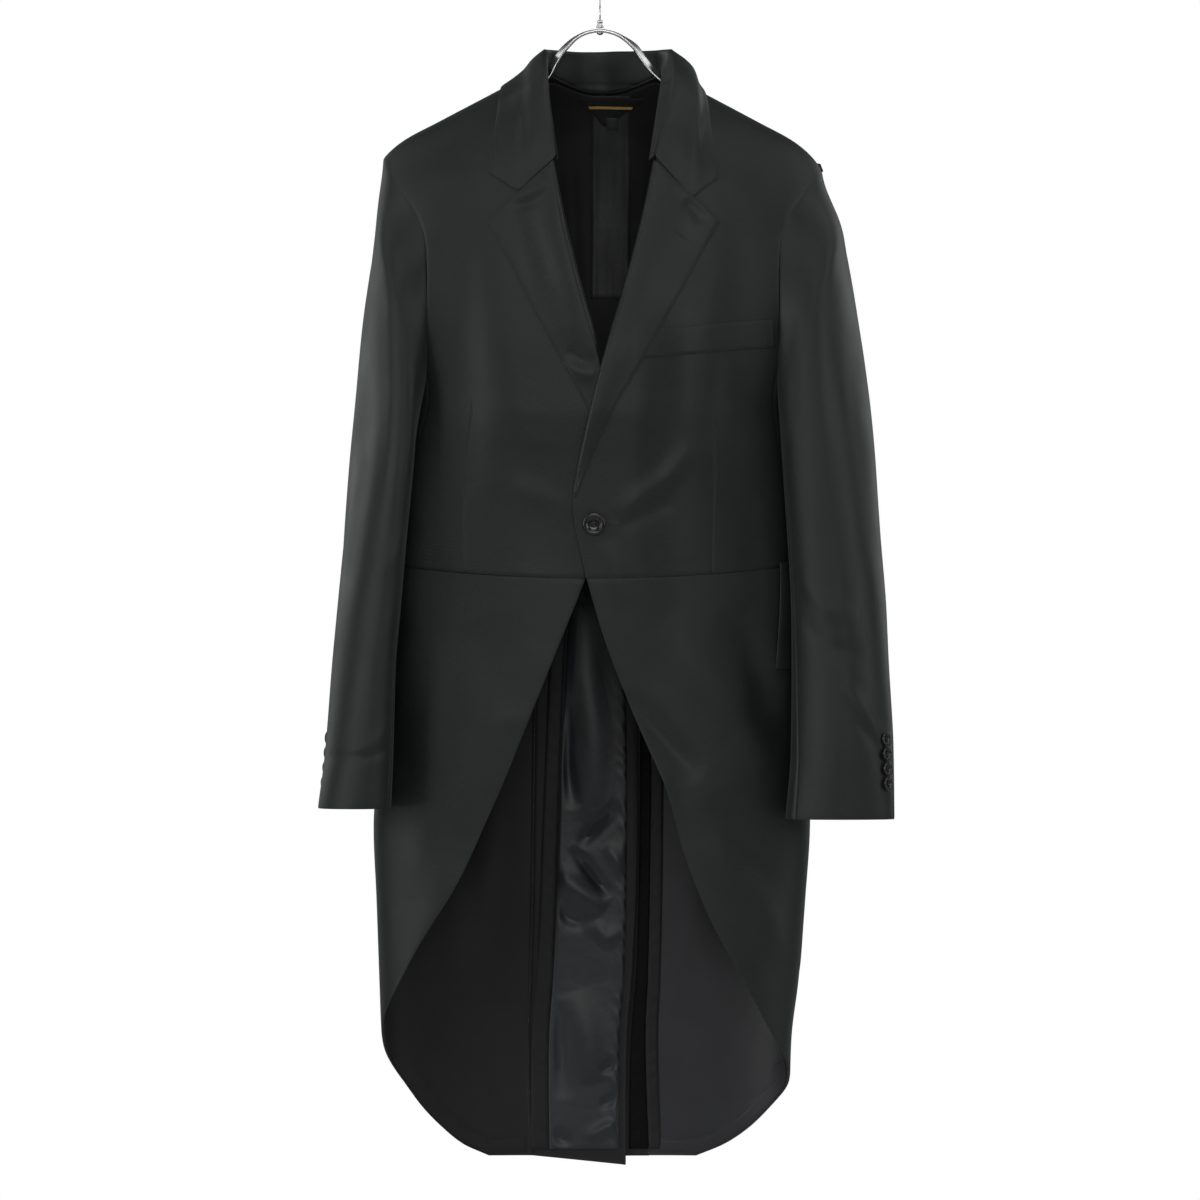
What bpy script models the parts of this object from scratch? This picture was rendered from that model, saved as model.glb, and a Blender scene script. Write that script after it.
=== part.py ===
"""Black one-button morning coat, hanging closed on a slim chrome hanger.

The coat is cut and built as a tailor cuts it: each cloth piece is an open surface
with its true outline, given its wall by Solidify, and set a seam's width from its
neighbours. All lengths below are millimetres. A "drop" is measured straight down from
the point where the hanger's hook is held, which is the origin; +X is the wearer's
left, -Y is the coat's front. "Out" is a distance from the coat's own centre line,
towards the side that the piece is on.
"""

import math

import bmesh
import bpy
import numpy as np
from mathutils import Vector

MM = 0.001
COLLECTION = "morning_coat_on_hanger"
CUTTERS = "cutters"

# ---------------------------------------------------------------- driving dimensions
CLOTH = 2.0            # wall of the cloth with its interlining
LINING = 1.0           # wall of linings, strips and the label
SEAM = 0.4             # each piece stops this far short of its seam line
SIDE_GAP = 0.7         # and this far at the side, where the body turns sharply
RIDGE_SEAM = 1.3       # and this far where two pieces meet along the shoulder ridge
SLEEVE_SEAM = 0.9      # and this far along a sleeve, where the wall turns sharply
LAID_ON = 1.5          # air between a panel and what is folded flat onto it
SEAT = 0.8             # air between a panel and what is sewn flat onto it
INSIDE_GAP = 2.0       # air between the back and the lining inside it
LINING_GAP = 1.1       # air between one lining piece and the next

SECTION_POWER = 2.5    # 2 is an ellipse, more is flatter across front and back
ROUND = 80.0           # the cloth rounds over the shoulder ridge within this drop
SHOULDER_CENTRE = -1.4
NECK_CENTRE = 3.0
ARMHOLE_TOP = 180.0
ARMHOLE_DEPTH = 225.0
ARMHOLE_STEP = 18.0    # degrees round the armhole from one section to the next
WAIST = 563.0          # drop of the waist seam at centre front
BACK_WAIST = 547.5     # and round the side and back

LEFT, RIGHT = 1, -1    # the wearer's sides
BODY_FRONT, BODY_BACK = "front", "back"

# Horizontal sections of the body: where its centre line lies, its half width, and how
# far its front and back stand from the side seams.
# drop, centre, half_width, front, back
SECTIONS = (
    (60, 3.0, 236, 40, 42),
    (110, 3.0, 235, 50, 48),
    (175, 3.3, 230, 62, 60),
    (230, 3.0, 221, 69, 68),
    (300, 2.5, 203, 77, 74),
    (350, 2.0, 184, 80, 76),
    (405, 0.5, 171, 80, 76),
    (430, -1.0, 171, 78, 74),
    (460, -2.5, 173, 75, 70),
    (515, -4.5, 178, 71, 65),
    (563, -4.5, 182.5, 69, 63),
    (640, -5.5, 189, 68, 62),
    (720, -6.5, 197, 67, 61),
    (790, -7.5, 203, 66, 61),
    (860, -8.4, 199.5, 65, 60),
    (935, -10.2, 195, 63, 60),
    (992, -12.5, 190.5, 61, 59),
    (1110, -9.0, 186, 58, 57),
)

# The shoulder ridge, where front and back meet: out, drop
SHOULDER = (
    (0, 59.7),
    (93, 109.0),
    (150, 139.0),
    (180, 155.0),
    (195, 167.0),
    (206, 181.0),
    (215, 203.0),
    (235, 250.0),
)

# The armhole seam by its drop, on the front and on the back: drop, front_out, back_out
ARMHOLE = (
    (180.0, 204, 204),
    (196, 195, 199),
    (211, 183, 190),
    (230, 171, 180),
    (258, 163, 172),
    (292, 161, 167),
    (327, 161, 164),
    (358, 161, 163),
    (383, 164.5, 165),
    (399, 169, 169),
    (405, 171.4, 171.4),
)


def follow(rows, at, flat_start=False):
    """Smooth curve through a table's rows, by its first column, with no overshoot."""
    table = np.asarray(rows, dtype=float)
    knots, values = table[:, 0], table[:, 1:]
    at = np.clip(np.asarray(at, dtype=float), knots[0], knots[-1])
    step = np.diff(knots)
    slope = np.diff(values, axis=0) / step[:, None]
    tangent = np.vstack([slope[:1], np.zeros_like(slope[1:]), slope[-1:]])
    before, after = slope[:-1], slope[1:]
    same_way = before * after > 0
    total = np.where(same_way, before + after, 1.0)
    tangent[1:-1] = np.where(same_way, 2 * before * after / total, 0.0)
    if flat_start:
        tangent[0] = 0.0
    k = np.clip(np.searchsorted(knots, at, side="right") - 1, 0, len(knots) - 2)
    t = ((at - knots[k]) / step[k])[..., None]
    h = step[k][..., None]
    return (
        values[k] * (1 + 2 * t) * (1 - t) ** 2
        + tangent[k] * h * t * (1 - t) ** 2
        + values[k + 1] * t * t * (3 - 2 * t)
        + tangent[k + 1] * h * t * t * (t - 1)
    )


def quarter_section():
    """A quarter of the body's rounded section, evenly spaced along its length."""
    turn = np.linspace(0, math.pi / 2, 4001)
    across = np.sin(turn) ** (2 / SECTION_POWER)
    deep = np.cos(turn) ** (2 / SECTION_POWER)
    typical_width, typical_depth = 2.6, 1.0
    run = np.hypot(np.diff(across) * typical_width, np.diff(deep) * typical_depth)
    share = np.concatenate([[0.0], np.cumsum(run)])
    return share / share[-1], across, deep


SHARE, ACROSS, DEEP = quarter_section()


# ---------------------------------------------------------------- the body's surface
# A place on the body is (side, girth, drop). Girth runs 0 at centre front, 1 at the
# side and 2 at centre back; below 0 or above 2 it has passed the centre line.

def ridge(x):
    return follow(SHOULDER, np.abs(x - SHOULDER_CENTRE))[..., 0]


def on_body(side, girth, drop):
    girth, drop = np.broadcast_arrays(np.asarray(girth, float), np.asarray(drop, float))
    centre, half, front, back = np.moveaxis(follow(SECTIONS, drop), -1, 0)
    share = np.where(girth <= 1, girth, 2 - girth)
    out = np.sign(share) * half * np.interp(np.abs(share), SHARE, ACROSS)
    x = centre + side * out
    below = np.clip((drop - ridge(x)) / ROUND, 0, 1)
    rounding = np.sqrt(1 - (1 - below) ** 2)
    depth = np.where(girth <= 1, -front, back)
    y = depth * np.interp(np.abs(share), SHARE, DEEP) * rounding
    return np.stack([x, y, -drop], axis=-1)


def lifted(side, girth, drop, lift=0.0):
    """A point on the body, moved out along the cloth's normal."""
    place = on_body(side, girth, drop)
    round_it = on_body(side, girth + 0.004, drop) - on_body(side, girth - 0.004, drop)
    down_it = on_body(side, girth, drop + 0.8) - place
    normal = side * np.cross(down_it, round_it)
    normal /= np.linalg.norm(normal, axis=-1, keepdims=True) + 1e-9
    return place + np.asarray(lift, float)[..., None] * normal


def girth_at(out, drop, face=BODY_FRONT):
    """The girth where the body's front or back lies this far out."""
    half = follow(SECTIONS, drop)[..., 1]
    share = np.sign(out) * np.interp(np.abs(out) / half, ACROSS, SHARE)
    return share if face == BODY_FRONT else 2 - share


def out_from_hanger(side, across, drop):
    """Turns a distance from the hanger's centre line into one from the coat's."""
    return across - side * follow(SECTIONS, drop)[..., 0]


def share_of(value, low, high):
    """0 at low, 1 at high, eased at both ends."""
    t = np.clip((value - low) / (high - low), 0, 1)
    return t * t * (3 - 2 * t)


# ---------------------------------------------------------------- making the solids

def material(name, colour, roughness, metallic=0.0):
    made = bpy.data.materials.get(name)
    if made:
        return made
    made = bpy.data.materials.new(name)
    made.use_nodes = True
    shader = made.node_tree.nodes["Principled BSDF"]
    shader.inputs["Base Color"].default_value = (*colour, 1.0)
    shader.inputs["Roughness"].default_value = roughness
    shader.inputs["Metallic"].default_value = metallic
    return made


def black_cloth():
    return material("black_satin_twill", (0.016, 0.018, 0.018), 0.55)


def black_lining():
    return material("black_lining", (0.010, 0.011, 0.014), 0.35)


def black_button():
    return material("black_button", (0.008, 0.008, 0.009), 0.2)


def chrome():
    return material("chrome", (0.75, 0.75, 0.76), 0.12, 1.0)


def add(name, mesh, finish):
    made = bpy.data.objects.new(name, mesh)
    if not mesh.materials:
        mesh.materials.append(finish)
    bpy.data.collections[COLLECTION].objects.link(made)
    return made


def pull_in(points, side_gap, top_gap):
    """Moves a grid's four sides inwards, to leave half of each seam's gap."""
    for axis, first_gap, last_gap in ((0, top_gap, SEAM), (1, side_gap, side_gap)):
        grid = np.moveaxis(points, axis, 0)
        for edge, inner, gap in ((0, 1, first_gap), (-1, -2, last_gap)):
            way = grid[inner] - grid[edge]
            grid[edge] += way / np.linalg.norm(way, axis=-1, keepdims=True) * gap
    return points


def cloth(name, surface, cols, rows, outward, side_gap=SEAM, top_gap=SEAM, finish=None,
          wall=CLOTH):
    """A cloth piece: surface(u, v) for u across and v down, with its wall inside."""
    v, u = np.meshgrid(np.linspace(0, 1, rows + 1), np.linspace(0, 1, cols + 1), indexing="ij")
    points = pull_in(surface(u, v), side_gap, top_gap)
    bm = bmesh.new()
    bmesh.ops.create_grid(bm, x_segments=cols, y_segments=rows, size=1.0)
    for vertex in bm.verts:
        i = round((vertex.co.x + 1) / 2 * cols)
        j = round((1 - vertex.co.y) / 2 * rows)
        vertex.co = points[j, i] * MM
    bm.normal_update()
    total = sum((face.normal * face.calc_area() for face in bm.faces), Vector())
    if total.dot(outward) < 0:
        bmesh.ops.reverse_faces(bm, faces=bm.faces)
    mesh = bpy.data.meshes.new(name)
    bm.to_mesh(mesh)
    bm.free()
    made = add(name, mesh, finish or black_cloth())
    solid = made.modifiers.new("wall", "SOLIDIFY")
    solid.thickness = wall * MM
    solid.offset = -1.0
    solid.use_even_offset = True
    return made


def side_name(side):
    return "left" if side == LEFT else "right"


# ---------------------------------------------------------------- panel outlines
# Rows run from the shoulder to the waist seam, 0 to 12, and on down the tails to the
# hem. The first rows of an outer edge are the armhole's own sections.

# The roll line of the lapel and the front edge below it: row, out, drop
FRONT_EDGE = (
    (0, 56, 89.4),
    (1, 55.5, 94),
    (2, 55, 106),
    (3, 53, 124),
    (4, 50, 146),
    (5, 45, 175),
    (6, 38, 214),
    (7, 27, 262),
    (8, 14, 308),
    (9, -2, 365),
    (10, -14, 430),
    (11, -21, 490),
    (12, -8.5, WAIST),
)
# The wearer's right front ends a little sooner, under the other: row, out, drop
UNDER_EDGE = FRONT_EDGE[:11] + ((11, -17, 495), (12, 9.5, WAIST))

# The back neckline, then the centre seam: row, out, drop
BACK_EDGE = (
    (0, 56, 89.4),
    (1, 50, 93),
    (2, 36, 99.5),
    (3, 17, 106.5),
    (4, 0, 109),
    (5, 0, 128),
    (6, 0, 150),
    (7, 0, 190),
    (8, 0, 250),
    (9, 0, 320),
    (10, 0, 395),
    (11, 0, 472),
    (12, 0, BACK_WAIST),
)
WAIST_ROW = 12
ARMHOLE_ROWS = 7
SIDE_SEAM_DROPS = (405, 445, 487, 525)
TAIL_DROPS = (
    585, 625, 665, 705, 745, 785, 825, 865, 905, 945, 985, 1018, 1046, 1070, 1090, 1103,
)
HEM_ROW = WAIST_ROW + len(TAIL_DROPS)

SIDE_SEAM = 0.88       # girth of the seam between forepart and side body
TAIL_STRIP = 55.0      # the tail strips' outer seams, out from centre back
VENT_TOP, VENT_OPEN = 585.0, 625.0
# How far the wearer's right tail strip passes the centre: drop, lap
VENT_LAP = ((625, 38), (815, 42), (1110, 33))
VENT_LIFT = 3.7        # the wearer's left strip lies outside it
VENT_EASE = 38.0       # and moves out there within this drop
VENT_FLAT = 1.84       # girth from which it lies fully outside

# The lap of the fronts lifts the wearer's left one over the right: drop, lift
LAP_LIFT = ((300, 0.0), (365, 7.4), (480, 7.4), (600, 4.4), (660, 0.0))
LAP_FLAT, LAP_GONE = 30.0, 80.0

# The cut-away front edge of each skirt and the rounded hem behind it, as distances
# from the hanger's centre line: across, drop, face
SKIRT_EDGE = {
    LEFT: (
        (-12.5, 563.0, BODY_FRONT),
        (1.4, 611, BODY_FRONT),
        (23.7, 671, BODY_FRONT),
        (44, 718, BODY_FRONT),
        (60, 755, BODY_FRONT),
        (77, 815, BODY_FRONT),
        (100, 874, BODY_FRONT),
        (126, 923, BODY_FRONT),
        (153, 972, BODY_FRONT),
        (171, 1004, BODY_FRONT),
        (177.5, 1024, BODY_BACK),
        (167, 1047, BODY_BACK),
        (137, 1078, BODY_BACK),
        (116, 1092, BODY_BACK),
        (90, 1103, BODY_BACK),
    ),
    RIGHT: (
        (13.3, 563.0, BODY_FRONT),
        (40.5, 631, BODY_FRONT),
        (71, 707, BODY_FRONT),
        (99, 774, BODY_FRONT),
        (130.7, 843, BODY_FRONT),
        (165, 899, BODY_FRONT),
        (190, 945, BODY_FRONT),
        (202, 972, BODY_FRONT),
        (202.5, 995, BODY_BACK),
        (184.6, 1031, BODY_BACK),
        (165, 1058, BODY_BACK),
        (145.5, 1078, BODY_BACK),
        (128, 1092, BODY_BACK),
        (104, 1103, BODY_BACK),
    ),
}


def armhole_drop(row):
    turn = np.radians(ARMHOLE_STEP * row)
    return ARMHOLE_TOP + ARMHOLE_DEPTH / 2 * (1 - np.cos(turn))


def armhole_girth(drop, face):
    column = 0 if face == BODY_FRONT else 1
    return girth_at(follow(ARMHOLE, drop)[..., column], drop, face)


def waist_drop(girth):
    """The waist seam is lowest at centre front and level round the back."""
    return WAIST - (WAIST - BACK_WAIST) * np.clip(np.abs(girth), 0, 1) ** 2


def tail_drop(row):
    rows = range(WAIST_ROW, HEM_ROW + 1)
    return follow(tuple(zip(rows, (BACK_WAIST, *TAIL_DROPS))), row)[..., 0]


def seam_below_armhole(row, face, waist_girth):
    """Girth and drop down the armhole, then down the seam from it to the waist."""
    seam_top = armhole_drop(ARMHOLE_ROWS)
    rows = range(ARMHOLE_ROWS, WAIST_ROW + 1)
    drops = tuple(zip(rows, (seam_top, *SIDE_SEAM_DROPS, waist_drop(waist_girth))))
    on_armhole = row <= ARMHOLE_ROWS
    drop = np.where(on_armhole, armhole_drop(row), follow(drops, row)[..., 0])
    start = armhole_girth(seam_top, face)
    seam = start + (waist_girth - start) * share_of(drop, seam_top - 30, WAIST)
    joint = start + (waist_girth - start) * share_of(seam_top, seam_top - 30, WAIST)
    girth = np.where(on_armhole, armhole_girth(drop, face), seam + start - joint)
    return girth, drop


def front_side_seam(row):
    return seam_below_armhole(row, BODY_FRONT, SIDE_SEAM)


def back_side_seam(row):
    """Down the back armhole, in to the tail strip at the waist, then down the strip."""
    girth, drop = seam_below_armhole(
        np.minimum(row, WAIST_ROW), BODY_BACK, girth_at(TAIL_STRIP, BACK_WAIST, BODY_BACK)
    )
    below = tail_drop(np.maximum(row, WAIST_ROW))
    strip = girth_at(TAIL_STRIP, below, BODY_BACK)
    tail = row > WAIST_ROW
    return np.where(tail, strip, girth), np.where(tail, below, drop)


def centre_back(side, row):
    """Down the neckline and centre seam; below the waist the right strip laps under."""
    out, drop = np.moveaxis(follow(BACK_EDGE, row, flat_start=True), -1, 0)
    drop = np.where(row > WAIST_ROW, tail_drop(row), drop)
    if side == RIGHT:
        out = out - follow(VENT_LAP, drop)[..., 0] * share_of(drop, VENT_TOP, VENT_OPEN)
    return girth_at(out, drop, BODY_BACK), drop


def skirt_edge(side, drop):
    """Girth of the cut-away edge and, past the side, of the rounded hem."""
    rows = []
    for across, at, face in SKIRT_EDGE[side]:
        rows.append((at, girth_at(out_from_hanger(side, across, at), at, face)))
    return follow(rows, drop)[..., 0]


def body_out(girth, drop):
    """How far out from the centre line a girth lies, on the front or the back."""
    share = np.where(girth <= 1, girth, 2 - girth)
    return np.sign(share) * np.interp(np.abs(share), SHARE, ACROSS) * follow(SECTIONS, drop)[..., 1]


def lap_lift(side, girth, drop):
    """How far the closed front stands off, on the side that laps over."""
    if side == RIGHT:
        return np.zeros_like(drop)
    out = body_out(np.minimum(girth, 1), drop)
    return follow(LAP_LIFT, drop)[..., 0] * (1 - share_of(out, LAP_FLAT, LAP_GONE))


def vent_lift(side, girth, drop):
    """The wearer's left tail strip lies outside the right one, either side of the vent."""
    if side == RIGHT:
        return np.zeros_like(drop)
    near = share_of(girth, girth_at(TAIL_STRIP, drop, BODY_BACK), VENT_FLAT)
    return VENT_LIFT * near * share_of(drop, VENT_TOP - VENT_EASE, VENT_TOP)


def to_ridge(side, girth, drop, row):
    """Moves a panel's first rows so that its top edge lies on the shoulder ridge."""
    x = on_body(side, girth[:1], drop[:1])[..., 0]
    fade = np.clip(1 - row / 3.0, 0, 1) ** 2
    return drop + (ridge(x) - drop[:1]) * fade


def between(first, second, u):
    """Girth and drop a share u of the way from one edge to the other."""
    return tuple(a + (b - a) * u for a, b in zip(first, second))


# ---------------------------------------------------------------- body panels

def forepart(side):
    def surface(u, v):
        row = v * WAIST_ROW
        edge = FRONT_EDGE if side == LEFT else UNDER_EDGE
        out, drop = np.moveaxis(follow(edge, row, flat_start=True), -1, 0)
        girth, drop = between((girth_at(out, drop), drop), front_side_seam(row), u)
        drop = to_ridge(side, girth, drop, row)
        foot = share_of(row, WAIST_ROW - 2, WAIST_ROW)
        drop = drop + (waist_drop(girth) - drop[-1:]) * foot
        return lifted(side, girth, drop, lap_lift(side, girth, drop))

    cloth(f"forepart_{side_name(side)}", surface, 10, WAIST_ROW, (0, -1, 0), SIDE_GAP, RIDGE_SEAM)


def side_body(side):
    """The underarm piece: its top edge is the bottom of the armhole."""
    half_turn = 180 / ARMHOLE_STEP

    def surface(u, v):
        row = ARMHOLE_ROWS + v * (WAIST_ROW - ARMHOLE_ROWS)
        girth, drop = between(front_side_seam(row), back_side_seam(row), u)
        place = ARMHOLE_ROWS + 2 * (half_turn - ARMHOLE_ROWS) * u
        top_drop = armhole_drop(place)
        top_girth = np.where(
            place <= half_turn,
            armhole_girth(top_drop, BODY_FRONT),
            armhole_girth(top_drop, BODY_BACK),
        )
        fade = (1 - v) ** 2
        girth = girth + (top_girth - girth[:1]) * fade
        drop = drop + (top_drop - drop[:1]) * fade
        drop = drop + (waist_drop(girth) - drop[-1:]) * share_of(v, 0.5, 1)
        return lifted(side, girth, drop)

    cloth(f"side_body_{side_name(side)}", surface, 8, WAIST_ROW - ARMHOLE_ROWS, (side, 0, 0), SIDE_GAP)


def back(side):
    def surface(u, v):
        row = v * HEM_ROW
        girth, drop = between(centre_back(side, row), back_side_seam(row), u)
        drop = to_ridge(side, girth, drop, row)
        return lifted(side, girth, drop, vent_lift(side, girth, drop))

    cloth(f"back_{side_name(side)}", surface, 6, HEM_ROW, (0, 1, 0), top_gap=RIDGE_SEAM)


def skirt(side):
    def surface(u, v):
        row = WAIST_ROW + v * (HEM_ROW - WAIST_ROW)
        strip, drop = back_side_seam(row)
        at_edge = drop + (WAIST - drop[:1]) * (1 - v) ** 4
        edge = skirt_edge(side, at_edge)
        girth, drop = between((edge, at_edge), (strip, drop), u)
        drop = drop + (waist_drop(girth) - drop[:1]) * (1 - v) ** 4
        return lifted(side, girth, drop, lap_lift(side, girth, drop))

    cloth(f"skirt_{side_name(side)}", surface, 10, HEM_ROW - WAIST_ROW, (side, 0, 0))


# ---------------------------------------------------------------- sleeves
# Horizontal sections of each sleeve, as distances from the hanger's centre line. Each
# is an ellipse, turned so that its front edge swings in across the body.
# drop, inner, outer, forward, deep, turned
SLEEVE = {
    LEFT: (
        (180, 178, 208, 0, 30, 0),
        (200, 172, 216, 0, 46, 0),
        (230, 167, 224, 3, 56, 3),
        (281, 163, 232.5, 8, 61, 10),
        (323, 163, 238.5, 14, 62, 15),
        (397, 165, 248.5, 26, 60, 20),
        (449, 168, 254, 34, 58, 20),
        (530, 173.4, 260.4, 42, 56, 18),
        (590, 176.5, 265, 47, 53, 15),
        (641, 177, 267, 53, 49, 12),
        (723, 176, 271, 62, 42, 8),
        (786, 170.7, 271.6, 67, 34, 4),
    ),
    RIGHT: (
        (180, 176, 204, 0, 30, 0),
        (200, 170, 206, 0, 46, 0),
        (230, 163, 208, 3, 57, 2),
        (281, 158, 214, 8, 64, 8),
        (323, 161, 219, 14, 66, 12),
        (397, 168, 225.5, 24, 66, 17),
        (449, 171, 230.5, 32, 64, 18),
        (530, 178.5, 238, 40, 60, 17),
        (590, 183.5, 243.5, 47, 56, 16),
        (641, 188, 248, 53, 53, 15),
        (723, 190.5, 254, 63, 47, 13),
        (776, 192.5, 260.5, 68, 43, 12),
    ),
}
CUFF_DROP = {LEFT: 785.0, RIGHT: 775.0}
SLEEVE_CLEAR = {LEFT: 2.9, RIGHT: 1.0}   # from the armhole seam to the sleeve head
HEAD_EASE = 60.0       # the sleeve takes its own section within this drop
# A sleeve's seams by their turn: 0 is in front and 90 on the outer side. The back one
# runs down to the cuff's buttons: share of the length, turn
FRONT_SEAM = -54.0
BACK_SEAM = {
    LEFT: ((0, 126), (0.6, 118), (1, 79)),
    RIGHT: ((0, 126), (0.5, 130), (1, 154)),
}
SLEEVE_COLS, SLEEVE_ROWS = 10, 11
CLOSER_ABOVE = 1.5     # power that sets rows closer together at a piece's top


def sleeve_section(side, turn, drop):
    """A point on a sleeve's section: turn is 0 in front and 90 on the outer side."""
    inner, outer, forward, deep, turned = np.moveaxis(follow(SLEEVE[side], drop), -1, 0)
    swing = np.radians(turned)
    half = (outer - inner) / 2
    thin = np.sqrt(half ** 2 - (deep * np.sin(swing)) ** 2) / np.cos(swing)
    side_way = thin * np.sin(np.radians(turn))
    depth_way = -deep * np.cos(np.radians(turn))
    out = (inner + outer) / 2 + side_way * np.cos(swing) + depth_way * np.sin(swing)
    y = -forward - side_way * np.sin(swing) + depth_way * np.cos(swing)
    return np.stack([side * out, y, -drop], axis=-1)


def sleeve_surface(side, first_seam, last_seam):
    def turn_at(u, v):
        first, last = follow(first_seam, v)[..., 0], follow(last_seam, v)[..., 0]
        return first + (last - first) * u

    def surface(u, v):
        top_turn = turn_at(u, np.zeros_like(v))
        top_drop = armhole_drop((top_turn - 90) / ARMHOLE_STEP)
        in_front = np.cos(np.radians(top_turn)) > 0
        girth = np.where(
            in_front,
            armhole_girth(top_drop, BODY_FRONT),
            armhole_girth(top_drop, BODY_BACK),
        )
        seam = on_body(side, girth, top_drop)
        seam[..., 0] += side * SLEEVE_CLEAR[side]
        drop = top_drop + (CUFF_DROP[side] - top_drop) * v ** CLOSER_ABOVE
        section = sleeve_section(side, turn_at(u, v), drop)
        share = np.clip((drop - top_drop) / HEAD_EASE, 0, 1)[..., None]
        ease = np.sin(math.pi / 2 * share)
        place = seam + (section - seam) * ease
        place[..., 2] = -drop
        return place

    return surface


def sleeve(side):
    word = side_name(side)
    front = ((0, FRONT_SEAM), (1, FRONT_SEAM))
    front_again = ((0, FRONT_SEAM + 360), (1, FRONT_SEAM + 360))
    top = sleeve_surface(side, front, BACK_SEAM[side])
    under = sleeve_surface(side, BACK_SEAM[side], front_again)
    cloth(f"topsleeve_{word}", top, SLEEVE_COLS, SLEEVE_ROWS, (side, -0.5, 0),
          SLEEVE_SEAM, SLEEVE_SEAM)
    cloth(f"undersleeve_{word}", under, SLEEVE_COLS, SLEEVE_ROWS, (-side, 0.5, 0),
          SLEEVE_SEAM, SLEEVE_SEAM)


# ---------------------------------------------------------------- collar and lapels
# The collar's sections, from centre back round to the gorge. Its base stands on the
# neckline; it rises to the fold, then falls to lie on the shoulder. Places on the
# cloth are given out from the centre and below the shoulder ridge, less than 0 behind.
# base_out, base_drop, fold_drop, lean, middle_out, middle_below, stand_off, edge_out, edge_below
COLLAR = (
    (0, 109, 77.0, -1.0, 0, -57, 1.0, 0, -70),
    (17, 106.5, 75.5, -1.0, 23, -42, 1.0, 29, -55),
    (36, 99.5, 73.0, -1.0, 50, -21, 2.0, 64, -31),
    (50, 93, 72.0, -1.5, 67, -5, 4.0, 88, -7),
    (54.3, 89.4, 73.0, -1.0, 73, 0, 4.5, 93.5, 0),
    (52.3, 106, 92.0, -0.5, 74.5, 14.0, 3.0, 96, 8),
    (49.6, 126, 118.0, 0.0, 76, 42.0, 1.0, 99, 31),
    (45.8, 150, 145.0, 0.5, 77.5, 74.0, 0.2, 102.5, 52),
    (41.5, 176, 172.5, 0.8, 79, 104, 0.0, 105.5, 74),
)
# How much further out the fold stands at each of these sections
COLLAR_OPEN = {
    LEFT: (0, 0, 1, 5, 9, 8, 4.5, 1.5, 0),
    RIGHT: (0, 0, 0, 2, 4, 5.5, 3, 0.5, 0),
}
NECK_POINT = (56.0, 89.4)      # where the neckline crosses the ridge: out, drop
NECK_EASE = 12.0
COLLAR_STATIONS = len(COLLAR) - 1
COLLAR_ROWS = 8
STAND_GAP = 1.6        # air between the neckline and the stand
STAND_INSIDE = 1.8     # how far inside the neckline the stand's foot stands
NECK_OVAL = 1.2        # the neck is this much wider than deep
FALL_CLEAR = 2.6       # air between the shoulder and the fall
FOLD_HALF = 3.0        # half the thickness of the rounded fold
FOLD_ROUND = 2.0
FALL_BOW = 1.5         # how far the fall bows out between fold and shoulder

# The lapel's outer edge and, for the same rows, the roll line: row, edge, edge_drop
LAPEL_EDGE = (
    (0, 107.5, 233.5),
    (1, 84, 275),
    (2, 61, 318),
    (3, 38, 360),
    (4, 14, 403),
    (5, -6, 450),
    (6, -19.5, 487),
)
# row, roll, roll_drop
LAPEL_ROLL = (
    (0, 45.5, 180),
    (1, 35, 230),
    (2, 20, 290),
    (3, 5, 343),
    (4, -8.5, 400),
    (5, -17, 450),
    (6, -21.5, 484),
)
LAPEL_ROWS = len(LAPEL_ROLL) - 1


def below_ridge(side, out, below, lift):
    """A point on the cloth given by how far it lies below the shoulder ridge."""
    x = NECK_CENTRE + side * out
    drop = ridge(x) + np.abs(below)
    in_front = below > 0
    girth = np.where(in_front, girth_at(out, drop), girth_at(out, drop, BODY_BACK))
    return lifted(side, girth, drop, lift)


def neck_shift(side, drop):
    """How far the panels' tops are moved to meet the ridge, near the neck point."""
    out, nominal = NECK_POINT
    fade = np.clip(1 - np.abs(drop - nominal) / NECK_EASE, 0, 1) ** 2
    return (ridge(NECK_CENTRE + side * out) - nominal) * fade


def collar_section(side, station):
    """Nine points across the collar: up the stand, over the fold, down the fall."""
    row = COLLAR[station]
    base_out, base_drop, fold_drop, lean, mid_out, mid_below, stand_off, edge_out, edge_below = row
    up = np.array([0.0, 0.0, 1.0])
    on_top = FALL_CLEAR + CLOTH
    face = BODY_BACK if mid_below < 0 else BODY_FRONT
    base_at = base_drop + neck_shift(side, base_drop)
    base = lifted(side, girth_at(base_out, base_at, face), base_at, -STAND_INSIDE)
    base = base + up * STAND_GAP
    rise = -fold_drop - base[2]
    away = np.array([base[0] - NECK_CENTRE, base[1] * NECK_OVAL, 0.0])
    away /= np.linalg.norm(away)
    fold = base + up * rise + away * (lean + COLLAR_OPEN[side][station] + FOLD_HALF)
    inner, outer = fold - away * FOLD_HALF, fold + away * FOLD_HALF
    middle = below_ridge(side, mid_out, mid_below, on_top + stand_off)
    half_way = ((mid_out + edge_out) / 2, (mid_below + edge_below) / 2)
    lower = below_ridge(side, *half_way, on_top + stand_off / 3)
    edge = below_ridge(side, edge_out, edge_below, on_top)
    bow = (outer + middle) / 2 + (away + up) * FALL_BOW
    return [base, (base + inner) / 2, inner, fold + up * FOLD_ROUND, outer, bow, middle, lower, edge]


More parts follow.
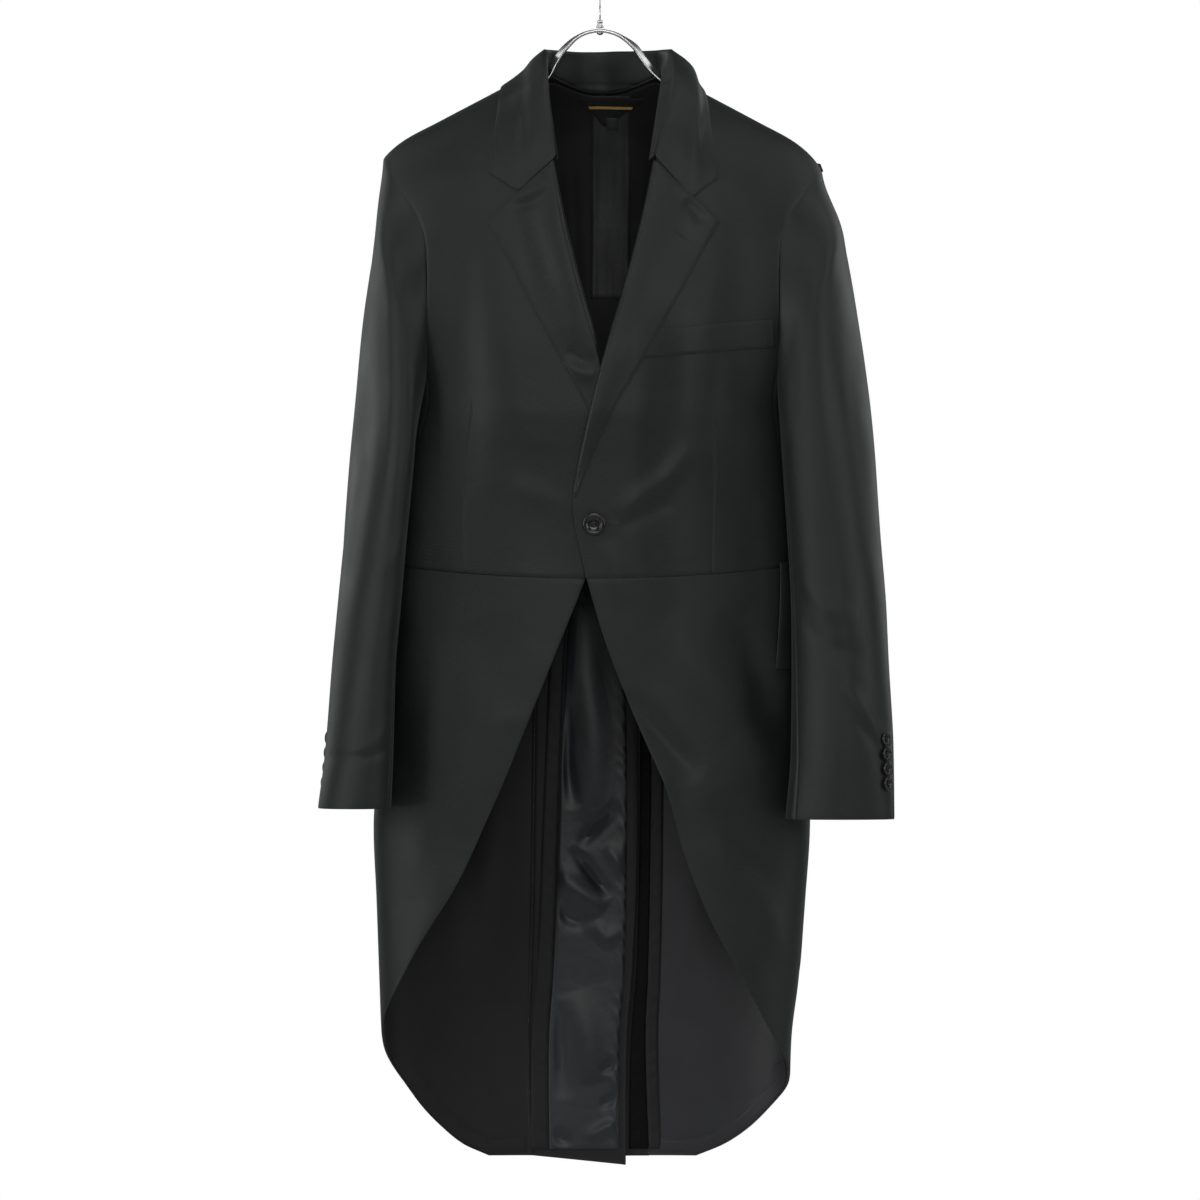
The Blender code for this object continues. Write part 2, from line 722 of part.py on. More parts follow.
def collar():
    sections = [collar_section(RIGHT, k) for k in range(COLLAR_STATIONS, 0, -1)]
    sections += [collar_section(LEFT, k) for k in range(COLLAR_STATIONS + 1)]
    rows = [(k, *np.ravel(section)) for k, section in enumerate(sections)]
    last = len(rows) - 1

    def surface(u, v):
        points = follow(rows, u * last).reshape(*u.shape, -1, 3)
        row = np.rint(v * COLLAR_ROWS).astype(int)
        return np.take_along_axis(points, row[..., None, None], axis=2)[:, :, 0]

    made = cloth("collar", surface, 2 * last, COLLAR_ROWS, (0, -1, 0.3))
    made.modifiers["wall"].use_even_offset = False


def lapel(side):
    def surface(u, v):
        row = v * LAPEL_ROWS
        roll, roll_drop = np.moveaxis(follow(LAPEL_ROLL, row), -1, 0)
        edge, edge_drop = np.moveaxis(follow(LAPEL_EDGE, row), -1, 0)
        inner, outer = girth_at(roll, roll_drop), girth_at(edge, edge_drop)
        girth, drop = between((inner, roll_drop), (outer, edge_drop), u)
        return lifted(side, girth, drop, lap_lift(side, girth, drop) + LAID_ON + CLOTH)

    cloth(f"lapel_{side_name(side)}", surface, 4, 2 * LAPEL_ROWS, (0, -1, 0))


# ---------------------------------------------------------------- pockets and linings

WELT_WALL = 1.6
# Corners, top then bottom, as out and drop
BREAST_WELT = ((66, 332), (155.5, 323.5), (65, 358), (156.4, 349.6))
# The flap's front edge, out at its top and bottom, and how far round the side it runs
FLAP_FRONT = {LEFT: (171.5, 168.5), RIGHT: (180.5, 185.5)}
FLAP_BACK = 1.30
FLAP_CLEAR = 2.5
FLAP_TOP, FLAP_BOTTOM = (4.0, 4.0), (97.0, 106.0)
NECK_LABEL = ((-24, 112.5), (41, 112.5), (0.5, 138.5), (3.5, 138.5))
SIZE_TAB = ((3, 130), (14, 130), (3, 141), (14, 141))
LINING_PLEAT = ((-12, 116), (26, 116), (-12, 300), (26, 300))
LINING_SIDE, LINING_FOOT = 100.0, 425.0
# The back lining's top edge: out, drop
LINING_TOP = ((0, 112.5), (17, 110.5), (36, 105.5), (50, 104.5), (62, 109.5), (100, 130))
# Inside each tail strip, the satin lining and the gathered strip beside it:
# drop, first_out, last_out
TAIL_LINING = {
    RIGHT: ((566, 2, 20), (625, -28, 26), (815, -33, 31.5), (905, -33, 33), (1097, -27, 38)),
    LEFT: ((566, 42, 53), (815, 44.5, 55.5), (905, 44, 55.5), (1097, 36.5, 55.5)),
}
GATHERED = {
    RIGHT: ((566, 21, 40), (625, 27, 42), (815, 32.5, 47), (905, 34, 49), (1097, 39, 53.5)),
    LEFT: ((566, 54, 64), (815, 56.5, 67), (1097, 56.5, 67)),
}
TAIL_LINING_TOP, TAIL_LINING_FOOT = 566.0, 1097.0
HEM_BAND = 20.0        # width of the hem's facing, measured level
HEM_BAND_TOP = 1042.0
HEM_BAND_INSET = 1.5   # from the hem's edge
HEM_BAND_GAP = 1.2     # air between the skirt and the facing


def panel_lift(side, girth, drop):
    return lap_lift(side, girth, drop) + vent_lift(side, girth, drop)


def patch(name, side, corners, face, lift, cols, rows, finish=None, wall=CLOTH):
    """A four-cornered piece on the front or back, lifted off the panel it lies on."""
    first, second, third, fourth = np.array(corners, dtype=float)

    def surface(u, v):
        u, v = u[..., None], v[..., None]
        top = first + (second - first) * u
        bottom = third + (fourth - third) * u
        out, drop = np.moveaxis(top + (bottom - top) * v, -1, 0)
        girth = girth_at(out, drop, face)
        return lifted(side, girth, drop, panel_lift(side, girth, drop) + lift)

    outward = (0, -1, 0) if face == BODY_FRONT else (0, 1, 0)
    return cloth(name, surface, cols, rows, outward, 0.0, 0.0, finish, wall)


def breast_welt():
    patch("breast_welt", LEFT, BREAST_WELT, BODY_FRONT, SEAT + WELT_WALL, 6, 1, wall=WELT_WALL)


def hip_flap(side):
    """Hangs from the waist seam, round the side."""
    def surface(u, v):
        front_top, front_bottom = FLAP_FRONT[side]
        front = front_top + (front_bottom - front_top) * v
        top = BACK_WAIST + FLAP_TOP[0] + (FLAP_TOP[1] - FLAP_TOP[0]) * u
        bottom = BACK_WAIST + FLAP_BOTTOM[0] + (FLAP_BOTTOM[1] - FLAP_BOTTOM[0]) * u
        drop = top + (bottom - top) * v
        start = girth_at(front, drop)
        girth = start + (FLAP_BACK - start) * u
        return lifted(side, girth, drop, FLAP_CLEAR + WELT_WALL)

    cloth(f"hip_flap_{side_name(side)}", surface, 6, 3, (side, 0, 0), wall=WELT_WALL)


def back_lining():
    """The lining inside the back, with its centre pleat and the bare label on it."""
    depth = CLOTH + INSIDE_GAP

    def surface(u, v):
        out = LINING_SIDE * (2 * u - 1)
        top = follow(LINING_TOP, np.abs(out))[..., 0]
        drop = top + (LINING_FOOT - top) * v ** CLOSER_ABOVE
        return lifted(LEFT, girth_at(out, drop, BODY_BACK), drop, -depth)

    cloth("back_lining", surface, 12, 10, (0, 1, 0), finish=black_lining(), wall=LINING)
    for name, corners, cols, rows in (
        ("lining_pleat", LINING_PLEAT, 2, 9),
        ("neck_label", NECK_LABEL, 3, 2),
        ("size_tab", SIZE_TAB, 1, 1),
    ):
        depth += LINING + LINING_GAP
        patch(name, LEFT, corners, BODY_BACK, -depth, cols, rows, black_lining(), LINING)


def tail_lining(side):
    """Inside a tail strip: its satin lining, and the gathered strip beside that."""
    word = side_name(side)
    depth = CLOTH + SEAT
    for name, edges, cols in (
        (f"tail_lining_{word}", TAIL_LINING[side], 4 if side == RIGHT else 1),
        (f"gathered_strip_{word}", GATHERED[side], 1),
    ):
        def surface(u, v, edges=edges):
            drop = TAIL_LINING_TOP + (TAIL_LINING_FOOT - TAIL_LINING_TOP) * v
            first, last = np.moveaxis(follow(edges, drop), -1, 0)
            girth = girth_at(first + (last - first) * u, drop, BODY_BACK)
            return lifted(side, girth, drop, vent_lift(side, girth, drop) - depth)

        cloth(name, surface, cols, 14, (0, 1, 0), 0.0, 0.0, black_lining(), LINING)


def hem_facing(side):
    """The band turned up inside the rounded hem of each skirt."""
    def surface(u, v):
        drop = HEM_BAND_TOP + (TAIL_LINING_FOOT - HEM_BAND_TOP) * v
        hem = body_out(skirt_edge(side, drop), drop) - HEM_BAND_INSET
        girth = girth_at(hem - HEM_BAND * u, drop, BODY_BACK)
        return lifted(side, girth, drop, -CLOTH - HEM_BAND_GAP)

    word = side_name(side)
    cloth(f"hem_facing_{word}", surface, 1, 6, (0, 1, 0), finish=black_lining(), wall=LINING)


# ---------------------------------------------------------------- buttons

# Half of a button's section from its centre out and under: share of radius, of height
BUTTON_PROFILE = (
    (0.0, 0.60), (0.56, 0.60), (0.68, 0.92), (0.80, 1.0), (0.93, 0.92), (1.0, 0.62),
    (0.96, 0.34), (0.72, 0.0), (0.0, 0.0),
)
FRONT_BUTTON, FRONT_BUTTON_HIGH = 20.8, 4.4
CUFF_BUTTON, CUFF_BUTTON_HIGH = 13.0, 3.2
FRONT_BUTTON_AT = (-1.1, 512.3)      # out, drop
THREAD_HOLES = 4
HOLE_OUT, HOLE_SIZE = 0.22, 0.085    # as shares of the button's radius
# The four cuff buttons: their place round each sleeve, the first one's drop, the pitch
CUFF_TURN = {LEFT: 62.0, RIGHT: 138.0}
CUFF_SEAT = {LEFT: -0.2, RIGHT: 1.0}
CUFF_FIRST, CUFF_PITCH, CUFF_COUNT = 711.0, 13.6, 4


def turned(name, profile, steps, finish):
    """A round piece turned about +Z from half of its section: radius, height."""
    bm = bmesh.new()
    points = [bm.verts.new((radius * MM, 0, height * MM)) for radius, height in profile]
    for pair in zip(points, points[1:]):
        bm.edges.new(pair)
    mesh = bpy.data.meshes.new(name)
    bm.to_mesh(mesh)
    bm.free()
    made = add(name, mesh, finish)
    screw = made.modifiers.new("turn", "SCREW")
    screw.steps = screw.render_steps = steps
    screw.use_merge_vertices = True
    screw.merge_threshold = 0.00005
    return made


def thread_holes(size, high):
    """The drills for a button's thread holes."""
    bm = bmesh.new()
    for k in range(THREAD_HOLES):
        turn = math.radians(45 + 360 / THREAD_HOLES * k)
        way = Vector((math.cos(turn), math.sin(turn), 0)) * size / 2 * HOLE_OUT * MM
        hole = size / 2 * HOLE_SIZE * MM
        drilled = bmesh.ops.create_cone(
            bm, cap_ends=True, segments=6, radius1=hole, radius2=hole, depth=high * 3 * MM
        )
        bmesh.ops.translate(bm, verts=drilled["verts"], vec=way)
    mesh = bpy.data.meshes.new("thread_holes")
    bm.to_mesh(mesh)
    bm.free()
    drill = bpy.data.objects.new("thread_holes", mesh)
    drill.hide_render = True
    drill.display_type = "WIRE"
    bpy.data.collections[CUTTERS].objects.link(drill)
    return drill


def button_mesh(name, size, high, steps):
    profile = [(share * size / 2, level * high) for share, level in BUTTON_PROFILE]
    blank = turned(name, profile, steps, black_button())
    drilled = blank.modifiers.new("holes", "BOOLEAN")
    drilled.operation = "DIFFERENCE"
    drilled.solver = "EXACT"
    drilled.object = thread_holes(size, high)
    ready = blank.evaluated_get(bpy.context.evaluated_depsgraph_get())
    mesh = bpy.data.meshes.new_from_object(ready)
    bpy.data.objects.remove(drilled.object)
    bpy.data.objects.remove(blank)
    return mesh


def sew_on(name, mesh, place, normal, seat):
    made = add(name, mesh, black_button())
    made.location = Vector(place + normal * seat) * MM
    made.rotation_mode = "QUATERNION"
    made.rotation_quaternion = Vector(normal).to_track_quat("Z", "Y")


def front_button():
    out, drop = FRONT_BUTTON_AT
    girth = girth_at(out, drop)
    lift = lap_lift(LEFT, girth, np.array(drop))
    place = lifted(LEFT, girth, drop, lift)
    normal = lifted(LEFT, girth, drop, lift + 1.0) - place
    mesh = button_mesh("button", FRONT_BUTTON, FRONT_BUTTON_HIGH, 24)
    sew_on("front_button", mesh, place, normal, SEAT)


def cuff_buttons():
    mesh = button_mesh("cuff_button", CUFF_BUTTON, CUFF_BUTTON_HIGH, 14)
    for side in (LEFT, RIGHT):
        turn = CUFF_TURN[side]
        for k in range(CUFF_COUNT):
            drop = CUFF_FIRST + CUFF_PITCH * k
            place = sleeve_section(side, turn, drop)
            round_it = sleeve_section(side, turn + 1, drop) - place
            down_it = sleeve_section(side, turn, drop + 1) - place
            normal = side * np.cross(down_it, round_it)
            normal /= np.linalg.norm(normal)
            sew_on(f"cuff_button_{side_name(side)}_{k + 1}", mesh, place, normal,
                   CUFF_SEAT[side])


# ---------------------------------------------------------------- hanger

HOOK_WIRE = 1.6
HOOK_RADIUS = 12.0     # of the wire's centre line; the hook is held at its inner top
HOOK_FOOT = 44.2
# The shank below the hook: behind, drop
SHANK = ((4.2, 24.4), (1.4, 29.2), (0.2, 34), (0, 38), (0, HOOK_FOOT))
STRIP_DEEP, STRIP_THICK = 8.5, 3.0
ARM_BELOW = 6.9        # the arms' middle below the shoulder ridge
# The strip over the neck, between the arms: across, drop
ARCH = (
    (-52.5, 96.5), (-45, 83), (-37, 71.5), (-23.7, 60), (-11, 54.6), (0, 53), (11, 54.8),
    (22, 59.4), (34, 67), (42.3, 78), (50.3, 89.5), (59, 99),
)
RIGHT_ARM = (-160, -148, -132, -112, -90, -68)
LEFT_ARM = (72, 92, 114, 134, 150, 162)
SOCKET_PROFILE = ((0.0, -44.5), (2.6, -44.5), (2.6, -49.4), (3.6, -49.4), (3.6, -50.8), (0.0, -50.8))
RIVET_PROFILE = ((0.0, -55.2), (3.2, -55.2), (3.2, -55.8), (2.4, -57.0), (0.0, -57.6))


def hanger_hook():
    curve = bpy.data.curves.new("hanger_hook", "CURVE")
    curve.dimensions = "3D"
    curve.bevel_depth = HOOK_WIRE / 2 * MM
    curve.bevel_resolution = 2
    curve.use_fill_caps = True
    top = HOOK_WIRE / 2
    round_hook = np.radians(np.linspace(205, -45, 22))
    route = [
        (HOOK_RADIUS * math.cos(turn), HOOK_RADIUS * (1 - math.sin(turn)) - top)
        for turn in round_hook
    ]
    route += SHANK
    spline = curve.splines.new("POLY")
    spline.points.add(len(route) - 1)
    for point, (behind, drop) in zip(spline.points, route):
        point.co = (0, behind * MM, -drop * MM, 1)
    add("hanger_hook", curve, chrome())


def hanger_arms():
    """A flat strip, arched over the neck and running out under the shoulders."""
    arms = [[(x, float(ridge(x)) + ARM_BELOW) for x in arm] for arm in (RIGHT_ARM, LEFT_ARM)]
    path = (*arms[0], *ARCH, *arms[1])
    rows = [(k, x, drop) for k, (x, drop) in enumerate(path)]
    last = len(rows) - 1

    def surface(u, v):
        x, drop = np.moveaxis(follow(rows, u * last), -1, 0)
        return np.stack([x, (0.5 - v) * STRIP_DEEP, -drop], axis=-1)

    made = cloth("hanger_arms", surface, 2 * last, 1, (0, 0, 1), 0, 0, chrome(), STRIP_THICK)
    made.modifiers["wall"].offset = 0
    made.modifiers["wall"].use_even_offset = False


def hanger():
    hanger_hook()
    turned("hanger_socket", SOCKET_PROFILE, 16, chrome())
    hanger_arms()
    turned("hanger_rivet", RIVET_PROFILE, 16, chrome())


def build():
    for old in list(bpy.data.objects):
        bpy.data.objects.remove(old)
    for name in (COLLECTION, CUTTERS):
        bpy.context.scene.collection.children.link(bpy.data.collections.new(name))
    for side in (LEFT, RIGHT):
        forepart(side)
        side_body(side)
        back(side)
        skirt(side)
        sleeve(side)
        lapel(side)
        hip_flap(side)
        tail_lining(side)
        hem_facing(side)
    collar()
    breast_welt()
    back_lining()
    front_button()
    cuff_buttons()
    hanger()


build()
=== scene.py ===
# %% [markdown]
# # A black morning coat on a slim chrome hanger
#
# A tailored coat is cloth sewn to a shape: its panels hang from the hanger in long soft
# folds, while seams, edges and the rolled lapels hold firm lines. It could be simulated,
# but a simulation loses the tailoring, so here each panel is a fine grid laid on the
# imported model's own form. The folds are then added as soft ridges and troughs.
#
# Lengths in this file are millimetres. A "drop" is measured straight down from the hook.
# +X is the wearer's left, -Y is the front.

# %% Load the imported model
import math
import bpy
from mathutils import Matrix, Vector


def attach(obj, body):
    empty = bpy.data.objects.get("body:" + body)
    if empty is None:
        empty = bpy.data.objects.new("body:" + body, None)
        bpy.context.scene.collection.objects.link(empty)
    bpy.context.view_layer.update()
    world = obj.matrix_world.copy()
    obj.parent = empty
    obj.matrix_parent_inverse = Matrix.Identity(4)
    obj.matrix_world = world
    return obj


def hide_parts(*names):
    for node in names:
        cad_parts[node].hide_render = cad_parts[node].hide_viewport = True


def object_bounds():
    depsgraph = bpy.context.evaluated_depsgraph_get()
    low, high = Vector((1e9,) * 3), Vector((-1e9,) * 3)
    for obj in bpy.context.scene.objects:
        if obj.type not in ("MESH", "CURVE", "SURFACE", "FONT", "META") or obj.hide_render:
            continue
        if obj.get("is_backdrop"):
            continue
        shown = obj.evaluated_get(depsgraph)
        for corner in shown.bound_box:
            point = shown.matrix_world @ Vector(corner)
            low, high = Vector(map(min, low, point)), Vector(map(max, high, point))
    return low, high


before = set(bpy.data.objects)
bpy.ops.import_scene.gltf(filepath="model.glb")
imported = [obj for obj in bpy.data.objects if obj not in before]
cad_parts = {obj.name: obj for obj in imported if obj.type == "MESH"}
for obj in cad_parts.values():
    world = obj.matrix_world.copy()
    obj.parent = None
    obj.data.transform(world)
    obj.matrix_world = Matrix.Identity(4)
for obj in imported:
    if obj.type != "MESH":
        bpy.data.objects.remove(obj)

from types import SimpleNamespace

import bmesh
import bpy
import numpy as np
from mathutils import Matrix, Vector

MM = 0.001
LEFT, RIGHT = 1, -1              # the wearer's sides
SIDES = {LEFT: "left", RIGHT: "right"}
BODY_FRONT, BODY_BACK = "front", "back"
TO_FRONT, TO_BACK = (0, -1, 0), (0, 1, 0)
cad_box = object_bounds()
print("packed model, mm:", [round(side / MM) for side in cad_box[1] - cad_box[0]])

# %% [markdown]
# ## The studio
#
# Black cloth shows its form only by what it reflects. Large soft lights stand to both
# sides of the camera, so that the twill shines broadly and its edges catch a thin rim.
# The white surroundings are far away: they look white, but light the coat only a little.
# The lens is long, as for a garment photographed flat on, so the two sides match.

# %% Camera
PIXEL = 0.93                     # one pixel of the photograph, on the coat
PHOTO = 1200
PHOTO_MIDDLE = (0.0, -583.0)     # across, height
CAMERA_AWAY = 8.0                # metres
SENSOR = 36.0
scene = bpy.context.scene
camera_data = bpy.data.cameras.new("camera")
camera_data.sensor_width = SENSOR
camera_data.lens = SENSOR * CAMERA_AWAY / (PHOTO * PIXEL * MM)
camera_data.clip_end = 100.0
camera = bpy.data.objects.new("camera", camera_data)
camera.location = (PHOTO_MIDDLE[0] * MM, -CAMERA_AWAY, PHOTO_MIDDLE[1] * MM)
camera.rotation_euler = (math.pi / 2, 0, 0)
scene.collection.objects.link(camera)
scene.camera = camera
print(f"lens {camera_data.lens:.0f} mm")


# %% Colours and nodes
def srgb(code):
    """A hex colour as the linear values that shaders use."""
    parts = [int(code[k:k + 2], 16) / 255 for k in (1, 3, 5)]
    linear = [p / 12.92 if p <= 0.04045 else ((p + 0.055) / 1.055) ** 2.4 for p in parts]
    return (*linear, 1.0)


def node(tree, kind, settings=None, links=None):
    """Adds a node, gives its sockets or properties their values, and links its inputs."""
    made = tree.nodes.new("ShaderNode" + kind)
    for name, value in (settings or {}).items():
        if name in made.inputs:
            made.inputs[name].default_value = value
        else:
            setattr(made, name, value)
    for name, source in (links or {}).items():
        tree.links.new(source, made.inputs[name])
    return made


def new_material(name):
    """A new material, its node tree and its shader."""
    made = bpy.data.materials.new(name)
    made.use_nodes = True
    tree = made.node_tree
    return made, tree, tree.nodes["Principled BSDF"]


def set_shader(shader, values):
    for name, value in values.items():
        shader.inputs[name].default_value = value


print("nearly black, linear:", [round(part, 4) for part in srgb("#141616")[:3]])

# %% Surroundings
scene.view_settings.view_transform = "Standard"
world = bpy.data.worlds.new("white_studio")
world.use_nodes = True
sky = world.node_tree
sky.nodes.clear()
SEEN, LIGHTING = 1.0, 0.07
path = node(sky, "LightPath")
strength = node(sky, "MapRange", {"To Min": LIGHTING, "To Max": SEEN},
                {"Value": path.outputs["Is Camera Ray"]})
white = node(sky, "Background", {"Color": (1, 1, 1, 1)}, {"Strength": strength.outputs[0]})
node(sky, "OutputWorld", None, {"Surface": white.outputs[0]})
scene.world = world
print("white surroundings: seen at", SEEN, "but lighting at", LIGHTING)


# %% Softboxes
def soft_light(name, place, aim, width, height, power):
    """A softbox: a large area light at place, turned to face aim (metres)."""
    data = bpy.data.lights.new(name, "AREA")
    data.shape = "RECTANGLE"
    data.size, data.size_y = width, height
    data.energy = power
    lamp = bpy.data.objects.new(name, data)
    lamp.location = place
    way = Vector(aim) - Vector(place)
    lamp.rotation_euler = way.to_track_quat("-Z", "Y").to_euler()
    scene.collection.objects.link(lamp)


COAT_MIDDLE, CHEST, HANGER_MIDDLE = (0, 0, -0.6), (0, 0, -0.4), (0, 0, -0.08)
# name, place, aim, width, height, power
SOFTBOXES = (
    ("left_softbox", (-3.1, -1.9, -0.1), COAT_MIDDLE, 2.4, 2.6, 35),
    ("right_softbox", (3.2, -1.2, 0.2), COAT_MIDDLE, 1.6, 2.4, 20),
    ("front_softbox", (0.3, -9.0, 1.4), COAT_MIDDLE, 4.0, 3.0, 114),
    ("top_softbox", (0.2, -1.6, 2.2), CHEST, 2.4, 1.4, 15),
    ("back_softbox_left", (-2.4, 2.6, 0.3), COAT_MIDDLE, 1.4, 2.2, 11),
    ("back_softbox_right", (2.4, 2.6, 0.3), COAT_MIDDLE, 1.4, 2.2, 11),
    ("hanger_light_left", (-1.95, 0.1, 1.5), HANGER_MIDDLE, 1.3, 1.3, 6),
    ("hanger_light_right", (1.95, 0.1, 1.5), HANGER_MIDDLE, 1.3, 1.3, 6),
)
for softbox in SOFTBOXES:
    soft_light(*softbox)
print("softboxes:", len(SOFTBOXES))

# %% Floor
FLOOR_DROP, FLOOR_HALF = 1650, 3.0
bm = bmesh.new()
bmesh.ops.create_grid(bm, x_segments=1, y_segments=1, size=FLOOR_HALF)
bmesh.ops.translate(bm, verts=bm.verts, vec=(0, 0, -FLOOR_DROP * MM))
floor_mesh = bpy.data.meshes.new("floor")
bm.to_mesh(floor_mesh)
bm.free()
floor = bpy.data.objects.new("floor", floor_mesh)
scene.collection.objects.link(floor)
floor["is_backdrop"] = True
floor_paint, tree, shader = new_material("matt_white_floor")
set_shader(shader, {"Base Color": srgb("#eeeeee"), "Roughness": 0.9})
floor_mesh.materials.append(floor_paint)
print("floor", FLOOR_DROP, "mm below the hook")

# %% [markdown]
# ## What the coat is made of
#
# The outside is a wool blend in satin twill. Its steep fine ribs lie so close that it
# looks smooth, with a broad soft shine, and its short nap gives edges a paler bloom.
# Linings are thin and smooth. The tails' lining is a bright satin, the rest is duller.
# All are procedural: ribs follow each piece's own UV map, and noise breaks up their
# colour, gloss and surface, because real cloth is never quite even.

# %% Ribs and patches
WAVE_PERIOD = 2 * math.pi / 20   # a wave texture's period at scale 1
NOISE_LOW, NOISE_HIGH = 0.25, 0.75   # most of a noise texture lies between these
SOFT = 2.0                       # few octaves, for a soft unevenness


def ribs(tree, pitch, lean):
    """Height of woven ribs: pitch in millimetres, leaning by so many degrees."""
    uv = node(tree, "UVMap", {"uv_map": "cloth"})
    turned = node(tree, "Mapping", {"Rotation": (0, 0, math.radians(lean))},
                  {"Vector": uv.outputs[0]})
    wave = node(tree, "TexWave", {"Scale": WAVE_PERIOD / (pitch * MM), "Distortion": 0.6,
                                  "Detail": 1.0, "Detail Scale": 0.5},
                {"Vector": turned.outputs[0]})
    return wave.outputs["Fac"]


def mottle(tree, size, detail=3.0):
    """Soft uneven patches, each about size millimetres across."""
    place = node(tree, "TexCoord")
    noise = node(tree, "TexNoise", {"Scale": 1 / (size * MM), "Detail": detail},
                 {"Vector": place.outputs["Object"]})
    return noise.outputs["Fac"]


def between_colours(tree, source, first, second, low=0.3, high=0.7):
    ramp = node(tree, "ValToRGB", None, {"Fac": source})
    ends = ramp.color_ramp.elements
    ends[0].position, ends[0].color = low, srgb(first)
    ends[1].position, ends[1].color = high, srgb(second)
    return ramp.outputs["Color"]


def ranged(tree, source, low, high):
    """A noise spread over the values from low to high."""
    spread = node(tree, "MapRange", {"From Min": NOISE_LOW, "From Max": NOISE_HIGH,
                                     "To Min": low, "To Max": high}, {"Value": source})
    return spread.outputs[0]


def bumped(tree, shader, layers):
    """Stacks bumps on a shader: (height, strength, depth in millimetres)."""
    normal = None
    for height, strong, depth in layers:
        links = {"Height": height}
        if normal:
            links["Normal"] = normal
        bump = node(tree, "Bump", {"Strength": strong, "Distance": depth * MM}, links)
        normal = bump.outputs["Normal"]
    tree.links.new(normal, shader.inputs["Normal"])


# %% Wool blend, woven as satin twill: dense and smooth, a soft broad shine
TWILL_PITCH = 1.5                # really 0.45 mm, drawn coarser so that it can show
TWILL_LEAN = 63                  # degrees: a steep twill
cloth_black, tree, shader = new_material("wool_blend_satin_twill")
patches = mottle(tree, 60)
fibres = mottle(tree, 1.6, SOFT)
tree.links.new(between_colours(tree, patches, "#141616", "#1a1d1d"),
               shader.inputs["Base Color"])
tree.links.new(ranged(tree, patches, 0.44, 0.56), shader.inputs["Roughness"])
set_shader(shader, {"IOR": 1.5, "Specular IOR Level": 0.5, "Sheen Weight": 0.22,
                    "Sheen Roughness": 0.4, "Sheen Tint": srgb("#9eb0ac")})
bumped(tree, shader, [(ribs(tree, TWILL_PITCH, TWILL_LEAN), 0.30, 0.12),
                      (fibres, 0.25, 0.10), (mottle(tree, 22, SOFT), 0.35, 0.8)])


# %% Linings: one recipe for them all
def lining_cloth(name, colours, patch, rib, uneven, values):
    """Two close colours in patches, fine ribs and a soft unevenness, in millimetres:
    rib is pitch, lean, strength and depth, uneven is size, strength and depth."""
    made, tree, shader = new_material(name)
    tree.links.new(between_colours(tree, mottle(tree, patch), *colours),
                   shader.inputs["Base Color"])
    set_shader(shader, {"IOR": 1.5, **values})
    pitch, lean, *rib_bump = rib
    size, *soft_bump = uneven
    bumped(tree, shader, [(ribs(tree, pitch, lean), *rib_bump),
                          (mottle(tree, size, SOFT), *soft_bump)])
    return made


# %% Viscose taffeta, plain woven: dull; and a darker copy of it, whose extra darkness is painted shade
TAFFETA_RIBS = (1.3, 0, 0.15, 0.08)
lining_dull = lining_cloth(
    "viscose_taffeta_lining", ("#0f1010", "#151616"), 40, TAFFETA_RIBS, (14, 0.3, 0.6),
    {"Roughness": 0.56, "Specular IOR Level": 0.35, "Sheen Weight": 0.08,
     "Sheen Roughness": 0.5})
# painted shade: the same taffeta made darker, for the wearer's left tail lining where hardly
# any light gets in
lining_painted_shade = lining_cloth(
    "viscose_taffeta_lining_painted_shade", ("#050606", "#090a0a"), 40, TAFFETA_RIBS,
    (14, 0.3, 0.6), {"Roughness": 0.6, "Specular IOR Level": 0.12})

# %% Lighter copies of the same taffeta, whose extra brightness is painted light: one for the wearer's left skirt lining and hem facing, one for the pressed pleat and the size tab
# painted light: the taffeta made lighter for the inside of the wearer's left skirt and its hem
# facing
lining_painted_light = lining_cloth(
    "viscose_taffeta_lining_painted_light", ("#1b1c20", "#232428"), 50, TAFFETA_RIBS,
    (20, 0.25, 0.6), {"Roughness": 0.5, "Specular IOR Level": 0.5, "Sheen Weight": 0.12,
                      "Sheen Roughness": 0.5})
# painted light: the taffeta made lighter for the centre-back pleat and the size tab
lining_pressed_painted_light = lining_cloth(
    "viscose_taffeta_pressed_painted_light", ("#232525", "#2b2d2d"), 30, (1.3, 0, 0.2, 0.08),
    (12, 0.35, 0.6), {"Roughness": 0.44, "Specular IOR Level": 0.5, "Sheen Weight": 0.14,
                      "Sheen Roughness": 0.45})

# %% Polyester satin, calendered: the glossy tail lining, bluish where it shines
lining_satin = lining_cloth(
    "polyester_satin_lining", ("#121519", "#1a1f25"), 30, (1.2, 90, 0.12, 0.06),
    (9, 0.35, 0.5), {"Roughness": 0.43, "Specular IOR Level": 0.6, "Anisotropic": 0.3,
                     "Sheen Weight": 0.16, "Sheen Roughness": 0.35,
                     "Sheen Tint": srgb("#8f9bb4")})

# %% Polyester resin, turned and polished: the buttons
button_black, tree, shader = new_material("polished_resin_button")
tree.links.new(between_colours(tree, mottle(tree, 6), "#0b0b0c", "#151517"),
               shader.inputs["Base Color"])
tree.links.new(ranged(tree, mottle(tree, 3), 0.16, 0.26), shader.inputs["Roughness"])
set_shader(shader, {"IOR": 1.54, "Coat Weight": 0.35, "Coat Roughness": 0.08})

# %% Steel strip, plated with bright chromium: the hanger
chrome, tree, shader = new_material("chromium_plated_steel")
tree.links.new(between_colours(tree, mottle(tree, 12), "#dedfe0", "#efeff0"),
               shader.inputs["Base Color"])
tree.links.new(ranged(tree, mottle(tree, 5), 0.2, 0.3), shader.inputs["Roughness"])
set_shader(shader, {"Metallic": 1.0})

